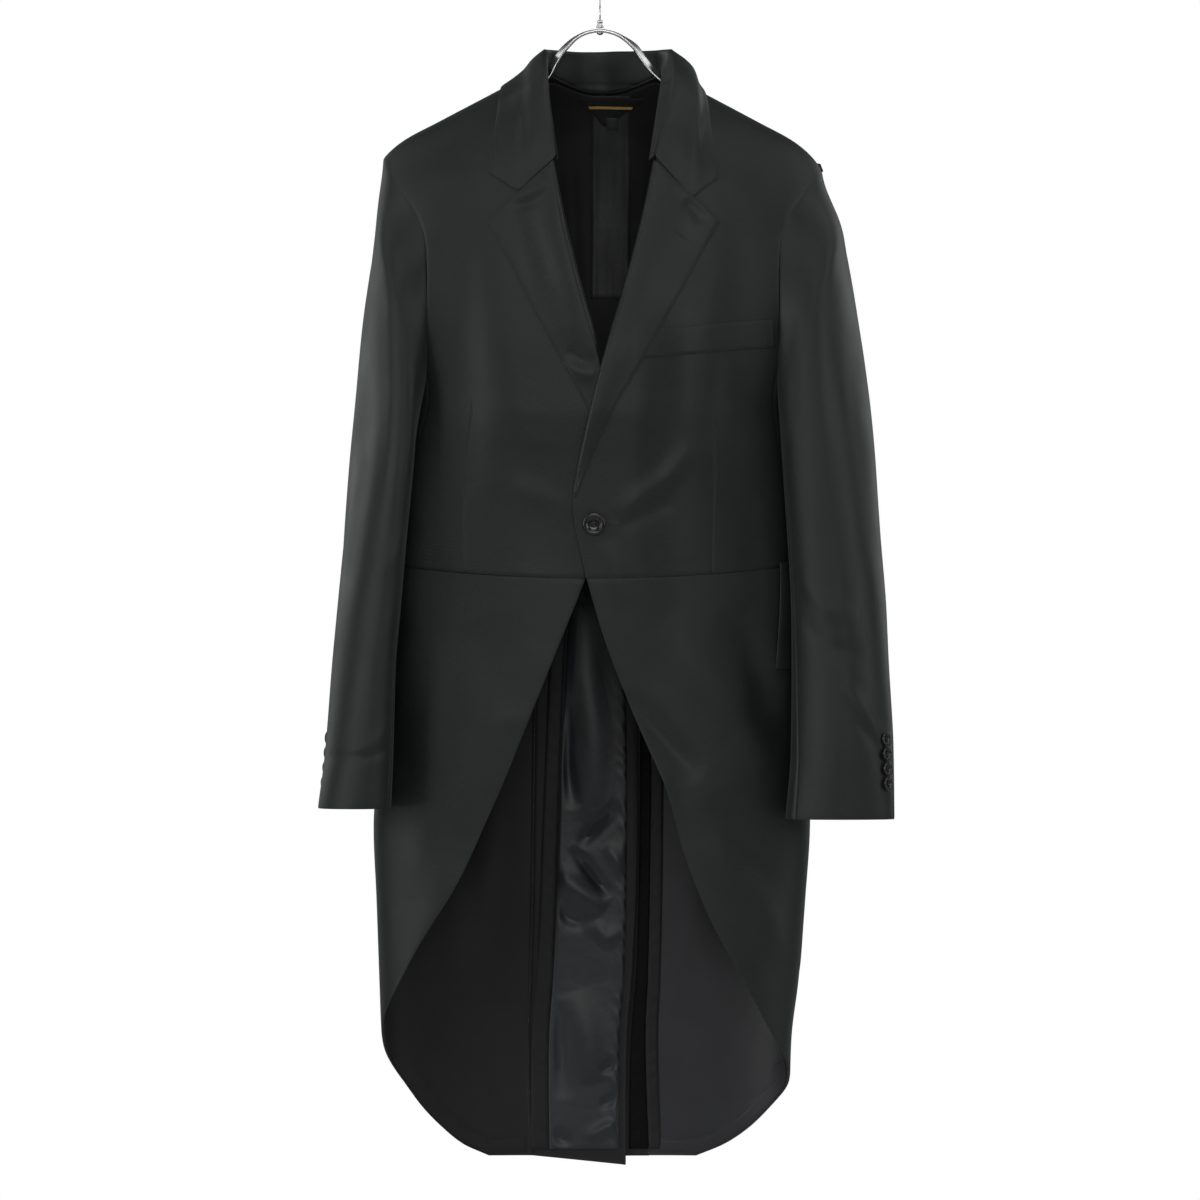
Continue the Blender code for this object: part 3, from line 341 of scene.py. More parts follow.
# %% Spun polyester thread, plied: stitches, in black and in gold
thread_black, tree, shader = new_material("spun_polyester_thread")
tree.links.new(between_colours(tree, mottle(tree, 2), "#161818", "#232626"),
               shader.inputs["Base Color"])
set_shader(shader, {"Roughness": 0.5, "Sheen Weight": 0.2})
thread_gold, tree, shader = new_material("gold_lurex_thread")
tree.links.new(between_colours(tree, mottle(tree, 1.2), "#b08a3c", "#dcb565"),
               shader.inputs["Base Color"])
set_shader(shader, {"Roughness": 0.4, "Metallic": 0.35})
print("materials:", len(bpy.data.materials))

# %% [markdown]
# ## The form that the cloth lies on
#
# An empty coat on a hanger is a flattened tube with a ridge along the shoulders. It is
# described by level sections, each a rounded oval with its own width and depth. A place
# on it is a girth (0 at centre front, 1 at the side, 2 at centre back) and a drop. This
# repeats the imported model's own form, so that the fine cloth lies where the model is.

# %% Sections, shoulder and armhole
SHELL = 1.6                      # wall of the outer cloth
LINING = 0.7                     # wall of the linings
SECTION_POWER = 2.5              # 2 is an ellipse, more is flatter front and back
ROUND = 80.0                     # the cloth rounds over the shoulder within this drop
SHOULDER_CENTRE = -1.4
NECK_CENTRE = 3.0
ARMHOLE_TOP, ARMHOLE_DEPTH = 180.0, 225.0
ARMHOLE_STEP = 18.0              # degrees round the armhole from one row to the next
WAIST = 563.0                    # drop of the waist seam at centre front
WAIST_RISE = 15.5                # the seam lies this much higher from the sides round
BACK_WAIST = WAIST - WAIST_RISE

# drop, centre, half_width, front, back
SECTIONS = (
    (60, 3.0, 236, 40, 42), (110, 3.0, 235, 50, 48), (175, 3.3, 230, 62, 60),
    (230, 3.0, 221, 69, 68), (300, 2.5, 203, 77, 74), (350, 2.0, 184, 80, 76),
    (405, 0.5, 171.5, 80, 76), (430, -1.0, 173, 78, 74), (460, -2.5, 176, 75, 70),
    (515, -4.5, 181, 71, 65), (563, -4.5, 184.5, 69, 63), (640, -5.5, 190, 68, 62),
    (720, -6.5, 197, 67, 61), (790, -7.5, 203, 66, 61), (860, -8.4, 199.5, 65, 60),
    (935, -10.2, 195, 63, 60), (992, -12.5, 190.5, 61, 59), (1110, -9.0, 186, 58, 57),
)
# out, drop
SHOULDER = (
    (0, 59.7), (93, 109.0), (150, 139.0), (180, 155.0), (195, 167.0), (206, 181.0),
    (215, 203.0), (235, 250.0),
)
# drop, front_out, back_out
ARMHOLE = (
    (180.0, 204, 204), (196, 195, 199), (211, 183, 190), (230, 171, 180), (258, 163, 172),
    (292, 161, 167), (327, 161, 164), (358, 161, 163), (383, 164.5, 165),
    (399, 169, 169), (405, 171.4, 171.4),
)
print(len(SECTIONS), "sections, waist seam at", WAIST, "mm in front and", BACK_WAIST, "behind")


# %% Smooth curves through a table
def follow(rows, at, flat_start=False):
    """Smooth curve through a table's rows, by its first column, with no overshoot."""
    table = np.asarray(rows, dtype=float)
    knots, values = table[:, 0], table[:, 1:]
    at = np.clip(np.asarray(at, dtype=float), knots[0], knots[-1])
    step = np.diff(knots)
    slope = np.diff(values, axis=0) / step[:, None]
    tangent = np.vstack([slope[:1], np.zeros_like(slope[1:]), slope[-1:]])
    before, after = slope[:-1], slope[1:]
    same_way = before * after > 0
    total = np.where(same_way, before + after, 1.0)
    tangent[1:-1] = np.where(same_way, 2 * before * after / total, 0.0)
    if flat_start:
        tangent[0] = 0.0
    k = np.clip(np.searchsorted(knots, at, side="right") - 1, 0, len(knots) - 2)
    t = ((at - knots[k]) / step[k])[..., None]
    h = step[k][..., None]
    return (values[k] * (1 + 2 * t) * (1 - t) ** 2 + tangent[k] * h * t * (1 - t) ** 2
            + values[k + 1] * t * t * (3 - 2 * t) + tangent[k + 1] * h * t * t * (t - 1))


def share_of(value, low, high):
    """0 at low, 1 at high, eased at both ends."""
    t = np.clip((value - low) / (high - low), 0, 1)
    return t * t * (3 - 2 * t)


def bell(away, width):
    """1 in the middle, fading smoothly to both sides."""
    return np.exp(-(away / width) ** 2)


print("half width at the waist seam:", round(float(follow(SECTIONS, WAIST)[1]), 1), "mm")


# %% Places on the body
def quarter_section():
    """A quarter of the rounded section, evenly spaced along its length."""
    turn = np.linspace(0, math.pi / 2, 4001)
    across = np.sin(turn) ** (2 / SECTION_POWER)
    deep = np.cos(turn) ** (2 / SECTION_POWER)
    typical_width, typical_depth = 2.6, 1.0
    run = np.hypot(np.diff(across) * typical_width, np.diff(deep) * typical_depth)
    share = np.concatenate([[0.0], np.cumsum(run)])
    return share / share[-1], across, deep


SHARE, ACROSS, DEEP = quarter_section()


def ridge(x):
    """Drop of the shoulder ridge."""
    return follow(SHOULDER, np.abs(x - SHOULDER_CENTRE))[..., 0]


def on_body(side, girth, drop):
    girth, drop = np.broadcast_arrays(np.asarray(girth, float), np.asarray(drop, float))
    centre, half, front, back = np.moveaxis(follow(SECTIONS, drop), -1, 0)
    share = np.where(girth <= 1, girth, 2 - girth)
    out = np.sign(share) * half * np.interp(np.abs(share), SHARE, ACROSS)
    x = centre + side * out
    below = np.clip((drop - ridge(x)) / ROUND, 0, 1)
    rounding = np.sqrt(1 - (1 - below) ** 2)
    depth = np.where(girth <= 1, -front, back)
    y = depth * np.interp(np.abs(share), SHARE, DEEP) * rounding
    return np.stack([x, y, -drop], axis=-1)


GIRTH_STEP, DROP_STEP = 0.004, 0.8   # from a point to its neighbours that give its normal


def lifted(side, girth, drop, lift=0.0):
    """A point on the body, moved out along the cloth's normal."""
    place = on_body(side, girth, drop)
    round_it = (on_body(side, girth + GIRTH_STEP, drop)
                - on_body(side, girth - GIRTH_STEP, drop))
    down_it = on_body(side, girth, drop + DROP_STEP) - place
    normal = side * np.cross(down_it, round_it)
    normal /= np.linalg.norm(normal, axis=-1, keepdims=True) + 1e-9
    return place + np.asarray(lift, float)[..., None] * normal


def girth_at(out, drop, face=BODY_FRONT):
    """The girth where the body's front or back lies this far out from its centre."""
    half = follow(SECTIONS, drop)[..., 1]
    share = np.sign(out) * np.interp(np.abs(out) / half, ACROSS, SHARE)
    return share if face == BODY_FRONT else 2 - share


def out_at(girth, drop):
    """How far out from the centre line a girth lies."""
    share = np.where(girth <= 1, girth, 2 - girth)
    half = follow(SECTIONS, drop)[..., 1]
    return np.sign(share) * np.interp(np.abs(share), SHARE, ACROSS) * half


def centre_at(drop):
    return follow(SECTIONS, drop)[..., 0]


print("wearer's left side at the waist:", on_body(LEFT, 1.0, WAIST).round(1), "mm")

# %% [markdown]
# ## Laying cloth
#
# Each piece starts as a flat grid, whose points are moved to where the cloth lies. Rows
# sit closer together near the edges: there the cloth dips into its seam, or rolls over
# where it is turned and pressed. Folds push the cloth out or let it sink, by a smooth
# bell across their path that fades at both ends. Solidify gives the wall, Bevel rounds
# its rim, and a UV map in real lengths carries the weave.

# %% Folds
FOLD_FADE = 0.7                  # power of the fade at a fold's ends: lower is blunter


def fold(across, drop, path, width, height):
    """A soft ridge, or a trough if height is negative, along a path of points."""
    nearest = np.full(across.shape, 1e9)
    along = np.zeros(across.shape)
    path = np.asarray(path, float)
    lengths = np.linalg.norm(np.diff(path, axis=0), axis=1)
    total, start = lengths.sum(), 0.0
    for (ax, ad), (bx, bd), length in zip(path, path[1:], lengths):
        t = ((across - ax) * (bx - ax) + (drop - ad) * (bd - ad)) / length ** 2
        t = np.clip(t, 0, 1)
        away = np.hypot(across - ax - t * (bx - ax), drop - ad - t * (bd - ad))
        closer = away < nearest
        nearest = np.where(closer, away, nearest)
        along = np.where(closer, (start + t * length) / total, along)
        start += length
    return height * bell(nearest, width) * np.sin(math.pi * along) ** FOLD_FADE


def folds(across, drop, rows):
    """The sum of a table's folds: path, width, height."""
    return sum(fold(across, drop, *row) for row in rows)


# %% Grids
STEP = 3.4                       # usual spacing of the cloth's points
LONG_STEP = 4.3                  # the same on the long panels, whose folds are broad
SLEEVE_STEP = 3.9
COLLAR_STEP, TAIL_STEP, PLEAT_STEP = 2.4, 2.3, 2.5
SMALL_STEP, LABEL_STEP = 2.0, 1.5
RIM = (0.0, 0.6, 1.4, 2.6)       # points this far from an edge
SEAM_DIP, SEAM_WIDE = 0.9, 1.3   # how deep a seam draws the cloth in, and how wide
EDGE_DIP, EDGE_WIDE = 0.35, 1.6  # how far a pressed edge turns in
PROBE_LINES, PROBE_POINTS_DOWN, PROBE_POINTS_ACROSS = 9, 700, 500


def run_along(points, axis):
    """Length run along a grid's columns (axis 0) or rows (axis 1)."""
    steps = np.linalg.norm(np.diff(points, axis=axis), axis=-1)
    start = np.zeros_like(np.take(steps, [0], axis=axis))
    return np.concatenate([start, np.cumsum(steps, axis=axis)], axis=axis)


def stations(run, step, lines):
    """Shares along a length: evenly spaced, and closer by the edges and marked lines."""
    total = run[-1]
    rim = np.array(RIM)
    count = max(2, round((total - 2 * rim[-1]) / step))
    marks = [rim, np.linspace(rim[-1], total - rim[-1], count + 1), total - rim]
    shares = np.linspace(0, 1, len(run))
    for line in lines:
        middle = np.interp(line, shares, run)
        near = np.concatenate([middle - rim[:0:-1], middle + rim])
        marks = [part[np.abs(part - middle) > rim[-1]] for part in marks] + [near]
    marks = np.unique(np.round(np.concatenate(marks), 4))
    return np.interp(marks, run, shares)


def sampled(surface, across, down):
    v, u = np.meshgrid(down, across, indexing="ij")
    return surface(u, v)


def grid_normals(points, outward):
    """Unit normals of a grid, and whether they are across times down."""
    normal = np.cross(np.gradient(points, axis=1), np.gradient(points, axis=0))
    normal /= np.linalg.norm(normal, axis=-1, keepdims=True) + 1e-12
    forward = normal.mean(axis=(0, 1)) @ np.asarray(outward, float) > 0
    return (normal if forward else -normal), forward


def cut_size(points):
    """A piece's cut in metres: its width and length, and its area."""
    a, b = points[1:, 1:] - points[:-1, :-1], points[1:, :-1] - points[:-1, 1:]
    area = np.linalg.norm(np.cross(a, b), axis=-1).sum() / 2
    width = run_along(points, 1)[:, -1].max()
    length = run_along(points, 0)[-1].max()
    return (width * MM, length * MM), area * MM * MM


def grid_mesh(name, points, flip):
    """A grid of faces with these points, and a UV map in metres along the cloth."""
    rows, cols = points.shape[0] - 1, points.shape[1] - 1
    bm = bmesh.new()
    bmesh.ops.create_grid(bm, x_segments=cols, y_segments=rows, size=1.0)
    mesh = bpy.data.meshes.new(name)
    bm.to_mesh(mesh)
    bm.free()
    flat = np.empty(len(mesh.vertices) * 3)
    mesh.vertices.foreach_get("co", flat)
    flat = flat.reshape(-1, 3)
    i = np.rint((flat[:, 0] + 1) / 2 * cols).astype(int)
    j = np.rint((1 - flat[:, 1]) / 2 * rows).astype(int)
    mesh.vertices.foreach_set("co", (points[j, i] * MM).ravel())
    corner = np.empty(len(mesh.loops), int)
    mesh.loops.foreach_get("vertex_index", corner)
    cloth = np.stack([run_along(points, 1)[j, i], -run_along(points, 0)[j, i]], axis=-1) * MM
    mesh.uv_layers.new(name="cloth").data.foreach_set("uv", cloth[corner].ravel())
    if flip:
        mesh.flip_normals()
    mesh.shade_smooth()
    mesh.update()
    return mesh


# %% Pieces
def show(name, mesh, nodes=()):
    """Puts a finished mesh in the scene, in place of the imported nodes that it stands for."""
    made = bpy.data.objects.new(name, mesh)
    scene.collection.objects.link(made)
    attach(made, "root")
    if nodes:
        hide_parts(*nodes)
    return made


RIM_ROUND, RIM_TURN = 0.3, 50    # share of the wall, and degrees that count as its rim


def wall(piece, thick, inner_finish=None):
    """Gives a cloth piece its wall, on the inside, and rounds the wall's rim."""
    solid = piece.modifiers.new("wall", "SOLIDIFY")
    solid.thickness, solid.offset = thick * MM, -1.0
    solid.material_offset = 1 if inner_finish else 0
    rim = piece.modifiers.new("rim", "BEVEL")
    rim.width, rim.segments = RIM_ROUND * thick * MM, 2
    rim.limit_method, rim.angle_limit = "ANGLE", math.radians(RIM_TURN)


# %% Cloth pieces
def lay_cloth(node_name, surface, outward, finish=cloth_black, inside=None,
              sewn="", relief=None, step=STEP, thick=SHELL, lines=()):
    """Lays a cloth piece on surface(u, v), u across and v down, and prints its cut.
    sewn names the edges that end in a seam: t top, f foot, a where u is 0, z where it is 1."""
    few = np.linspace(0, 1, PROBE_LINES)
    columns = run_along(sampled(surface, few, np.linspace(0, 1, PROBE_POINTS_DOWN)), 0)
    down = stations(columns[:, columns[-1].argmax()], step, ())
    rows = run_along(sampled(surface, np.linspace(0, 1, PROBE_POINTS_ACROSS), few), 1)
    across = stations(rows[rows[:, -1].argmax()], step, lines)
    points = sampled(surface, across, down)
    flat, area = cut_size(points)
    across_run, down_run = run_along(points, 1), run_along(points, 0)
    v, u = np.meshgrid(down, across, indexing="ij")
    at = SimpleNamespace(
        u=u, v=v, x=points[..., 0], y=points[..., 1], drop=-points[..., 2],
        a=across_run, z=across_run[:, -1:] - across_run,
        t=down_run, f=down_run[-1:] - down_run, width=across_run[:, -1:],
    )
    push = relief(at) if relief else np.zeros_like(u)
    for edge in "atzf":
        dip, wide = (SEAM_DIP, SEAM_WIDE) if edge in sewn else (EDGE_DIP, EDGE_WIDE)
        push = push - dip * bell(getattr(at, edge), wide)
    normal, forward = grid_normals(points, outward)
    points = points + normal * push[..., None]
    made = show(f"{node_name}_cloth", grid_mesh(node_name, points, forward),
                (node_name,))
    made.data.materials.append(finish)
    if inside:
        made.data.materials.append(inside)
    wall(made, thick, inside)
    print(f"{made.name}: cut {flat[0]:.3f} x {flat[1]:.3f} m, {area:.4f} m2, {u.size} points")


# %% [markdown]
# ## Front, sides and back
#
# The body is cut as a tailor cuts it: a forepart each side with a waist dart, an
# underarm side body, and a back that runs on down as a narrow tail strip. The rows run
# from the shoulder (0) to the waist seam (12), then down the tails. Neighbouring pieces
# share the same seam curve, so that no light shows between them.

# %% Outlines
# row, out, drop: the lapel's roll line, then the front edge below it
FRONT_EDGE = (
    (0, 56, 89.4), (1, 55.5, 94), (2, 55, 106), (3, 53, 124), (4, 50, 146), (5, 45, 175),
    (6, 38, 214), (7, 27, 262), (8, 14, 308), (9, -2, 365), (10, -14, 430),
    (11, -21, 490), (12, -8.5, WAIST),
)
UNDER_EDGE = FRONT_EDGE[:11] + ((11, -17, 495), (12, 9.5, WAIST))
# row, out, drop: the back neckline, then the centre seam
BACK_EDGE = (
    (0, 56, 89.4), (1, 50, 93), (2, 36, 99.5), (3, 17, 106.5), (4, 0, 109), (5, 0, 128),
    (6, 0, 150), (7, 0, 190), (8, 0, 250), (9, 0, 320), (10, 0, 395), (11, 0, 472),
    (12, 0, BACK_WAIST),
)
WAIST_ROW, ARMHOLE_ROWS = 12, 7
RIDGE_ROWS = 3.0                 # the top rows, which are moved to meet the ridge
RIDGE_ROUNDS = 8                 # rounds of the search for the ridge
HALF_ARMHOLE = 180 / ARMHOLE_STEP
SIDE_SEAM_DROPS = (405, 445, 487, 525)
TAIL_DROPS = (
    585, 625, 665, 705, 745, 785, 825, 865, 905, 945, 985, 1018, 1046, 1070, 1090, 1103,
)
HEM_ROW = WAIST_ROW + len(TAIL_DROPS)
SEAM_EASE = 30.0                 # a side seam starts to turn this far above the armhole's foot
SIDE_SEAM = 0.88                 # girth of the seam between forepart and side body
TAIL_STRIP = 55.0                # the tail strips' outer seams, out from centre back
VENT_TOP, VENT_OPEN = 585.0, 625.0
# drop, lap: how far the wearer's right strip passes the centre
VENT_LAP = ((625, 38), (815, 42), (1110, 33))
VENT_LIFT = 3.7                  # the wearer's left strip lies outside it
VENT_EASE, VENT_FLAT = 38.0, 1.84
# drop, lift: the wearer's left front laps over the right
LAP_LIFT = ((300, 0.0), (365, 7.4), (480, 7.4), (600, 4.4), (660, 0.0))
LAP_FLAT, LAP_GONE = 30.0, 80.0
# across, drop, face: the cut-away edges, then the rounded hems behind them
SKIRT_EDGE = {
    LEFT: (
        (-12.5, 563.0, BODY_FRONT), (1.4, 611, BODY_FRONT), (23.7, 671, BODY_FRONT),
        (44, 718, BODY_FRONT), (60, 755, BODY_FRONT), (77, 815, BODY_FRONT),
        (100, 874, BODY_FRONT), (126, 923, BODY_FRONT), (153, 972, BODY_FRONT),
        (171, 1004, BODY_FRONT), (177.5, 1024, BODY_BACK), (167, 1047, BODY_BACK),
        (137, 1078, BODY_BACK), (116, 1092, BODY_BACK), (90, 1103, BODY_BACK),
    ),
    RIGHT: (
        (13.3, 563.0, BODY_FRONT), (40.5, 631, BODY_FRONT), (71, 707, BODY_FRONT),
        (99, 774, BODY_FRONT), (130.7, 843, BODY_FRONT), (165, 899, BODY_FRONT),
        (190, 945, BODY_FRONT), (202, 972, BODY_FRONT), (202.5, 995, BODY_BACK),
        (184.6, 1031, BODY_BACK), (165, 1058, BODY_BACK), (145.5, 1078, BODY_BACK),
        (128, 1092, BODY_BACK), (104, 1103, BODY_BACK),
    ),
}


# %% Seam curves
def armhole_drop(row):
    return ARMHOLE_TOP + ARMHOLE_DEPTH / 2 * (1 - np.cos(np.radians(ARMHOLE_STEP * row)))


def armhole_girth(drop, face):
    column = 0 if face == BODY_FRONT else 1
    return girth_at(follow(ARMHOLE, drop)[..., column], drop, face)


def waist_drop(girth):
    """The waist seam is lowest at centre front and level round the back."""
    return WAIST - WAIST_RISE * np.clip(np.abs(girth), 0, 1) ** 2


def tail_drop(row):
    rows = range(WAIST_ROW, HEM_ROW + 1)
    return follow(tuple(zip(rows, (BACK_WAIST, *TAIL_DROPS))), row)[..., 0]


def seam_below_armhole(row, face, waist_girth):
    """Girth and drop down the armhole, then down the seam from it to the waist."""
    seam_top = armhole_drop(ARMHOLE_ROWS)
    rows = range(ARMHOLE_ROWS, WAIST_ROW + 1)
    drops = tuple(zip(rows, (seam_top, *SIDE_SEAM_DROPS, waist_drop(waist_girth))))
    on_armhole = row <= ARMHOLE_ROWS
    drop = np.where(on_armhole, armhole_drop(row), follow(drops, row)[..., 0])
    start = armhole_girth(seam_top, face)
    turns_at = seam_top - SEAM_EASE
    seam = start + (waist_girth - start) * share_of(drop, turns_at, WAIST)
    joint = start + (waist_girth - start) * share_of(seam_top, turns_at, WAIST)
    return np.where(on_armhole, armhole_girth(drop, face), seam + start - joint), drop


def front_side_seam(row):
    return seam_below_armhole(row, BODY_FRONT, SIDE_SEAM)


def back_side_seam(row):
    """Down the back armhole, in to the tail strip at the waist, then down the strip."""
    waist = waist_drop(1.5)
    girth, drop = seam_below_armhole(
        np.minimum(row, WAIST_ROW), BODY_BACK, girth_at(TAIL_STRIP, waist, BODY_BACK)
    )
    below = tail_drop(np.maximum(row, WAIST_ROW))
    tail = row > WAIST_ROW
    return (np.where(tail, girth_at(TAIL_STRIP, below, BODY_BACK), girth),
            np.where(tail, below, drop))


def centre_back(side, row):
    """Down the neckline and centre seam; below the waist the right strip laps under."""
    out, drop = np.moveaxis(follow(BACK_EDGE, row, flat_start=True), -1, 0)
    drop = np.where(row > WAIST_ROW, tail_drop(row), drop)
    if side == RIGHT:
        out = out - follow(VENT_LAP, drop)[..., 0] * share_of(drop, VENT_TOP, VENT_OPEN)
    return girth_at(out, drop, BODY_BACK), drop


def skirt_edge(side, drop):
    """Girth of the cut-away edge and, past the side, of the rounded hem."""
    rows = []
    for across, at, face in SKIRT_EDGE[side]:
        rows.append((at, girth_at(across - side * centre_at(at), at, face)))
    return follow(rows, drop)[..., 0]


def lap_lift(side, girth, drop):
    """How far the closed front stands off, on the side that laps over."""
    if side == RIGHT:
        return np.zeros_like(drop)
    out = out_at(np.minimum(girth, 1), drop)
    return follow(LAP_LIFT, drop)[..., 0] * (1 - share_of(out, LAP_FLAT, LAP_GONE))


def vent_lift(side, girth, drop):
    """The wearer's left tail strip lies outside the right one, either side of the vent."""
    if side == RIGHT:
        return np.zeros_like(drop)
    near = share_of(girth, girth_at(TAIL_STRIP, drop, BODY_BACK), VENT_FLAT)
    return VENT_LIFT * near * share_of(drop, VENT_TOP - VENT_EASE, VENT_TOP)


def on_ridge(side, girth, drop):
    """The drop at which the body, at this girth, meets the shoulder ridge. The body is
    wider lower down, so the place is searched for in rounds."""
    for _ in range(RIDGE_ROUNDS):
        drop = ridge(on_body(side, girth, drop)[..., 0])
    return drop


def to_ridge(side, girth, drop, row):
    """Moves a panel's first rows so that its top edge lies on the shoulder ridge."""
    top = on_ridge(side, girth[:1], drop[:1])
    return drop + (top - drop[:1]) * np.clip(1 - row / RIDGE_ROWS, 0, 1) ** 2


def between(first, second, u):
    """Girth and drop a share u of the way from one edge to the other."""
    return tuple(a + (b - a) * u for a, b in zip(first, second))


print("side seam ends at girth", SIDE_SEAM, "and drop", round(float(waist_drop(SIDE_SEAM)), 1))

# %% Folds of the front, sides and back: path of (across, drop), width, height
FRONT_FOLDS = (
    # drawn from the button to the breast
    (((14, 505), (38, 488), (62, 470), (84, 440)), 9, 3.2),
    (((18, 516), (44, 503), (70, 492)), 7, -2.2),
    (((-22, 505), (-52, 488), (-86, 478)), 12, 1.6),
    (((6, 530), (14, 552), (22, 590)), 8, 1.6),
    # the cloth stays full and flat right up to the sleeves
    (((-176, 240), (-172, 330), (-174, 430), (-180, 550), (-188, 740)), 27, 12),
    (((176, 250), (171, 330), (172, 430), (177, 550), (186, 740)), 27, 11),
    # long soft folds down from the shoulders
    (((-132, 200), (-124, 300), (-122, 420), (-126, 540)), 16, -1.6),
    (((-100, 230), (-92, 330), (-84, 440)), 26, 2.2),
    (((130, 210), (124, 300), (120, 400), (124, 530)), 16, -1.5),
    (((112, 250), (98, 360), (84, 470), (92, 545)), 24, 2.0),
    (((60, 400), (52, 470), (60, 545)), 18, -1.6),
    (((-60, 440), (-52, 500), (-58, 560)), 20, -1.8),
    # the skirts
    (((24, 668), (44, 694), (66, 720), (92, 746)), 11, -5.0),
    (((30, 712), (52, 748), (66, 800)), 12, 3.2),
    (((60, 600), (96, 650), (140, 700), (165, 770)), 22, 2.8),
    (((120, 590), (150, 660), (172, 740)), 16, -2.6),
    (((110, 760), (140, 830), (160, 900)), 20, -2.4),
    (((100, 800), (150, 860), (182, 930)), 14, 2.4),
    (((-110, 600), (-96, 640), (-90, 690)), 24, -2.6),
    (((-60, 620), (-100, 700), (-130, 800)), 22, 2.4),
    (((-70, 700), (-92, 760), (-130, 850)), 16, -2.0),
    (((-150, 620), (-160, 740), (-170, 860)), 18, 2.6),
    (((-140, 820), (-165, 900), (-185, 980)), 16, 1.8),
)
BACK_FOLDS = (
    (((-110, 170), (-96, 260), (-92, 380), (-70, 500)), 26, 3.0),
    (((112, 180), (100, 280), (90, 400), (66, 510)), 26, 2.8),
    (((-60, 200), (-52, 320), (-44, 470)), 24, -2.2),
    (((58, 190), (56, 300), (46, 460)), 22, -2.4),
    (((-150, 220), (-140, 320), (-130, 430)), 20, -3.0),
    (((146, 230), (140, 330), (128, 440)), 20, -2.8),
    (((-95, 455), (-60, 490), (-20, 500)), 12, 1.8),
    (((90, 470), (54, 496), (14, 512)), 12, 1.6),
    (((-120, 600), (-132, 760), (-140, 930)), 24, 3.2),
    (((120, 600), (126, 740), (120, 920)), 24, 3.0),
    (((-84, 620), (-96, 780), (-104, 960)), 20, -3.0),
    (((84, 640), (88, 800), (84, 980)), 20, -2.8),
    (((-160, 640), (-168, 800), (-160, 940)), 18, -2.4),
    (((160, 640), (170, 800), (160, 940)), 18, -2.2),
    (((-30, 700), (-34, 860), (-36, 1020)), 16, 1.6),
)
TURN_BACK = 12.0                 # front folds give way to back ones this near the side


def body_folds(at):
    """Folds on the front where the cloth is in front of the side, on the back behind it."""
    front = folds(at.x, at.drop, FRONT_FOLDS)
    back = folds(at.x, at.drop, BACK_FOLDS)
    behind = share_of(at.y, -TURN_BACK, TURN_BACK)
    return front * (1 - behind) + back * behind


print("folds in front and behind:", len(FRONT_FOLDS), len(BACK_FOLDS))

# %% Foreparts, with the waist dart
TUCK = 4.5                       # the cloth's edge stops short inside the lapel's roll
TUCK_STARTS, TUCK_ENDS = (160, 180), (466, 490)
DART_LINE = 0.55                 # the dart's place across the grid
DART_STEADY = (200, 300)         # drops over which the grid comes to follow the dart
DART_STARTS = (-6, 10)           # it deepens from above its top to below it
DART_DIP, DART_WIDE = 0.5, 0.9
FOOT_ROWS = 2                    # the rows that bend to meet the waist seam
# out, drop at the dart's top, then at the waist
DART = {RIGHT: ((119.5, 400), (119.5, 552)), LEFT: ((106.5, 418), (108, 556))}


def forepart(side):
    (top_out, top_drop), (foot_out, foot_drop) = DART[side]

    def surface(u, v):
        row = v * WAIST_ROW
        edge = FRONT_EDGE if side == LEFT else UNDER_EDGE
        out, drop = np.moveaxis(follow(edge, row, flat_start=True), -1, 0)
        out = out + TUCK * share_of(drop, *TUCK_STARTS) * (1 - share_of(drop, *TUCK_ENDS))
        first, last = (girth_at(out, drop), drop), front_side_seam(row)
        down = np.clip((drop - top_drop) / (foot_drop - top_drop), 0, 1)
        dart = girth_at(top_out + (foot_out - top_out) * down, np.maximum(drop, top_drop))
        middle = (dart - first[0]) / (last[0] - first[0])
        middle = DART_LINE + (middle - DART_LINE) * share_of(drop, *DART_STEADY)
        u = np.where(u < DART_LINE, u / DART_LINE * middle,
                     middle + (u - DART_LINE) / (1 - DART_LINE) * (1 - middle))
        girth, drop = between(first, last, u)
        drop = to_ridge(side, girth, drop, row)
        foot = share_of(row, WAIST_ROW - FOOT_ROWS, WAIST_ROW)
        drop = drop + (waist_drop(girth) - drop[-1:]) * foot
        return lifted(side, girth, drop, lap_lift(side, girth, drop))

    def relief(at):
        away = (at.u - DART_LINE) * at.width
        length = share_of(at.drop, *(top_drop + near for near in DART_STARTS))
        return body_folds(at) - DART_DIP * bell(away, DART_WIDE) * length

    word = SIDES[side]
    lay_cloth(f"forepart_{word}", surface, TO_FRONT, sewn="tf", relief=relief,
              inside=lining_dull, lines=(DART_LINE,))


# %% Side bodies
def side_body(side):
    def surface(u, v):
        row = ARMHOLE_ROWS + v * (WAIST_ROW - ARMHOLE_ROWS)
        girth, drop = between(front_side_seam(row), back_side_seam(row), u)
        place = ARMHOLE_ROWS + 2 * (HALF_ARMHOLE - ARMHOLE_ROWS) * u
        top_drop = armhole_drop(place)
        top_girth = np.where(place <= HALF_ARMHOLE, armhole_girth(top_drop, BODY_FRONT),
                             armhole_girth(top_drop, BODY_BACK))
        fade = (1 - v) ** 2
        girth = girth + (top_girth - girth[:1]) * fade
        drop = drop + (top_drop - drop[:1]) * fade
        drop = drop + (waist_drop(girth) - drop[-1:]) * share_of(v, 0.5, 1)
        return lifted(side, girth, drop)

    word = SIDES[side]
    lay_cloth(f"side_body_{word}", surface, (side, 0, 0), sewn="tfz", relief=body_folds,
              inside=lining_dull)


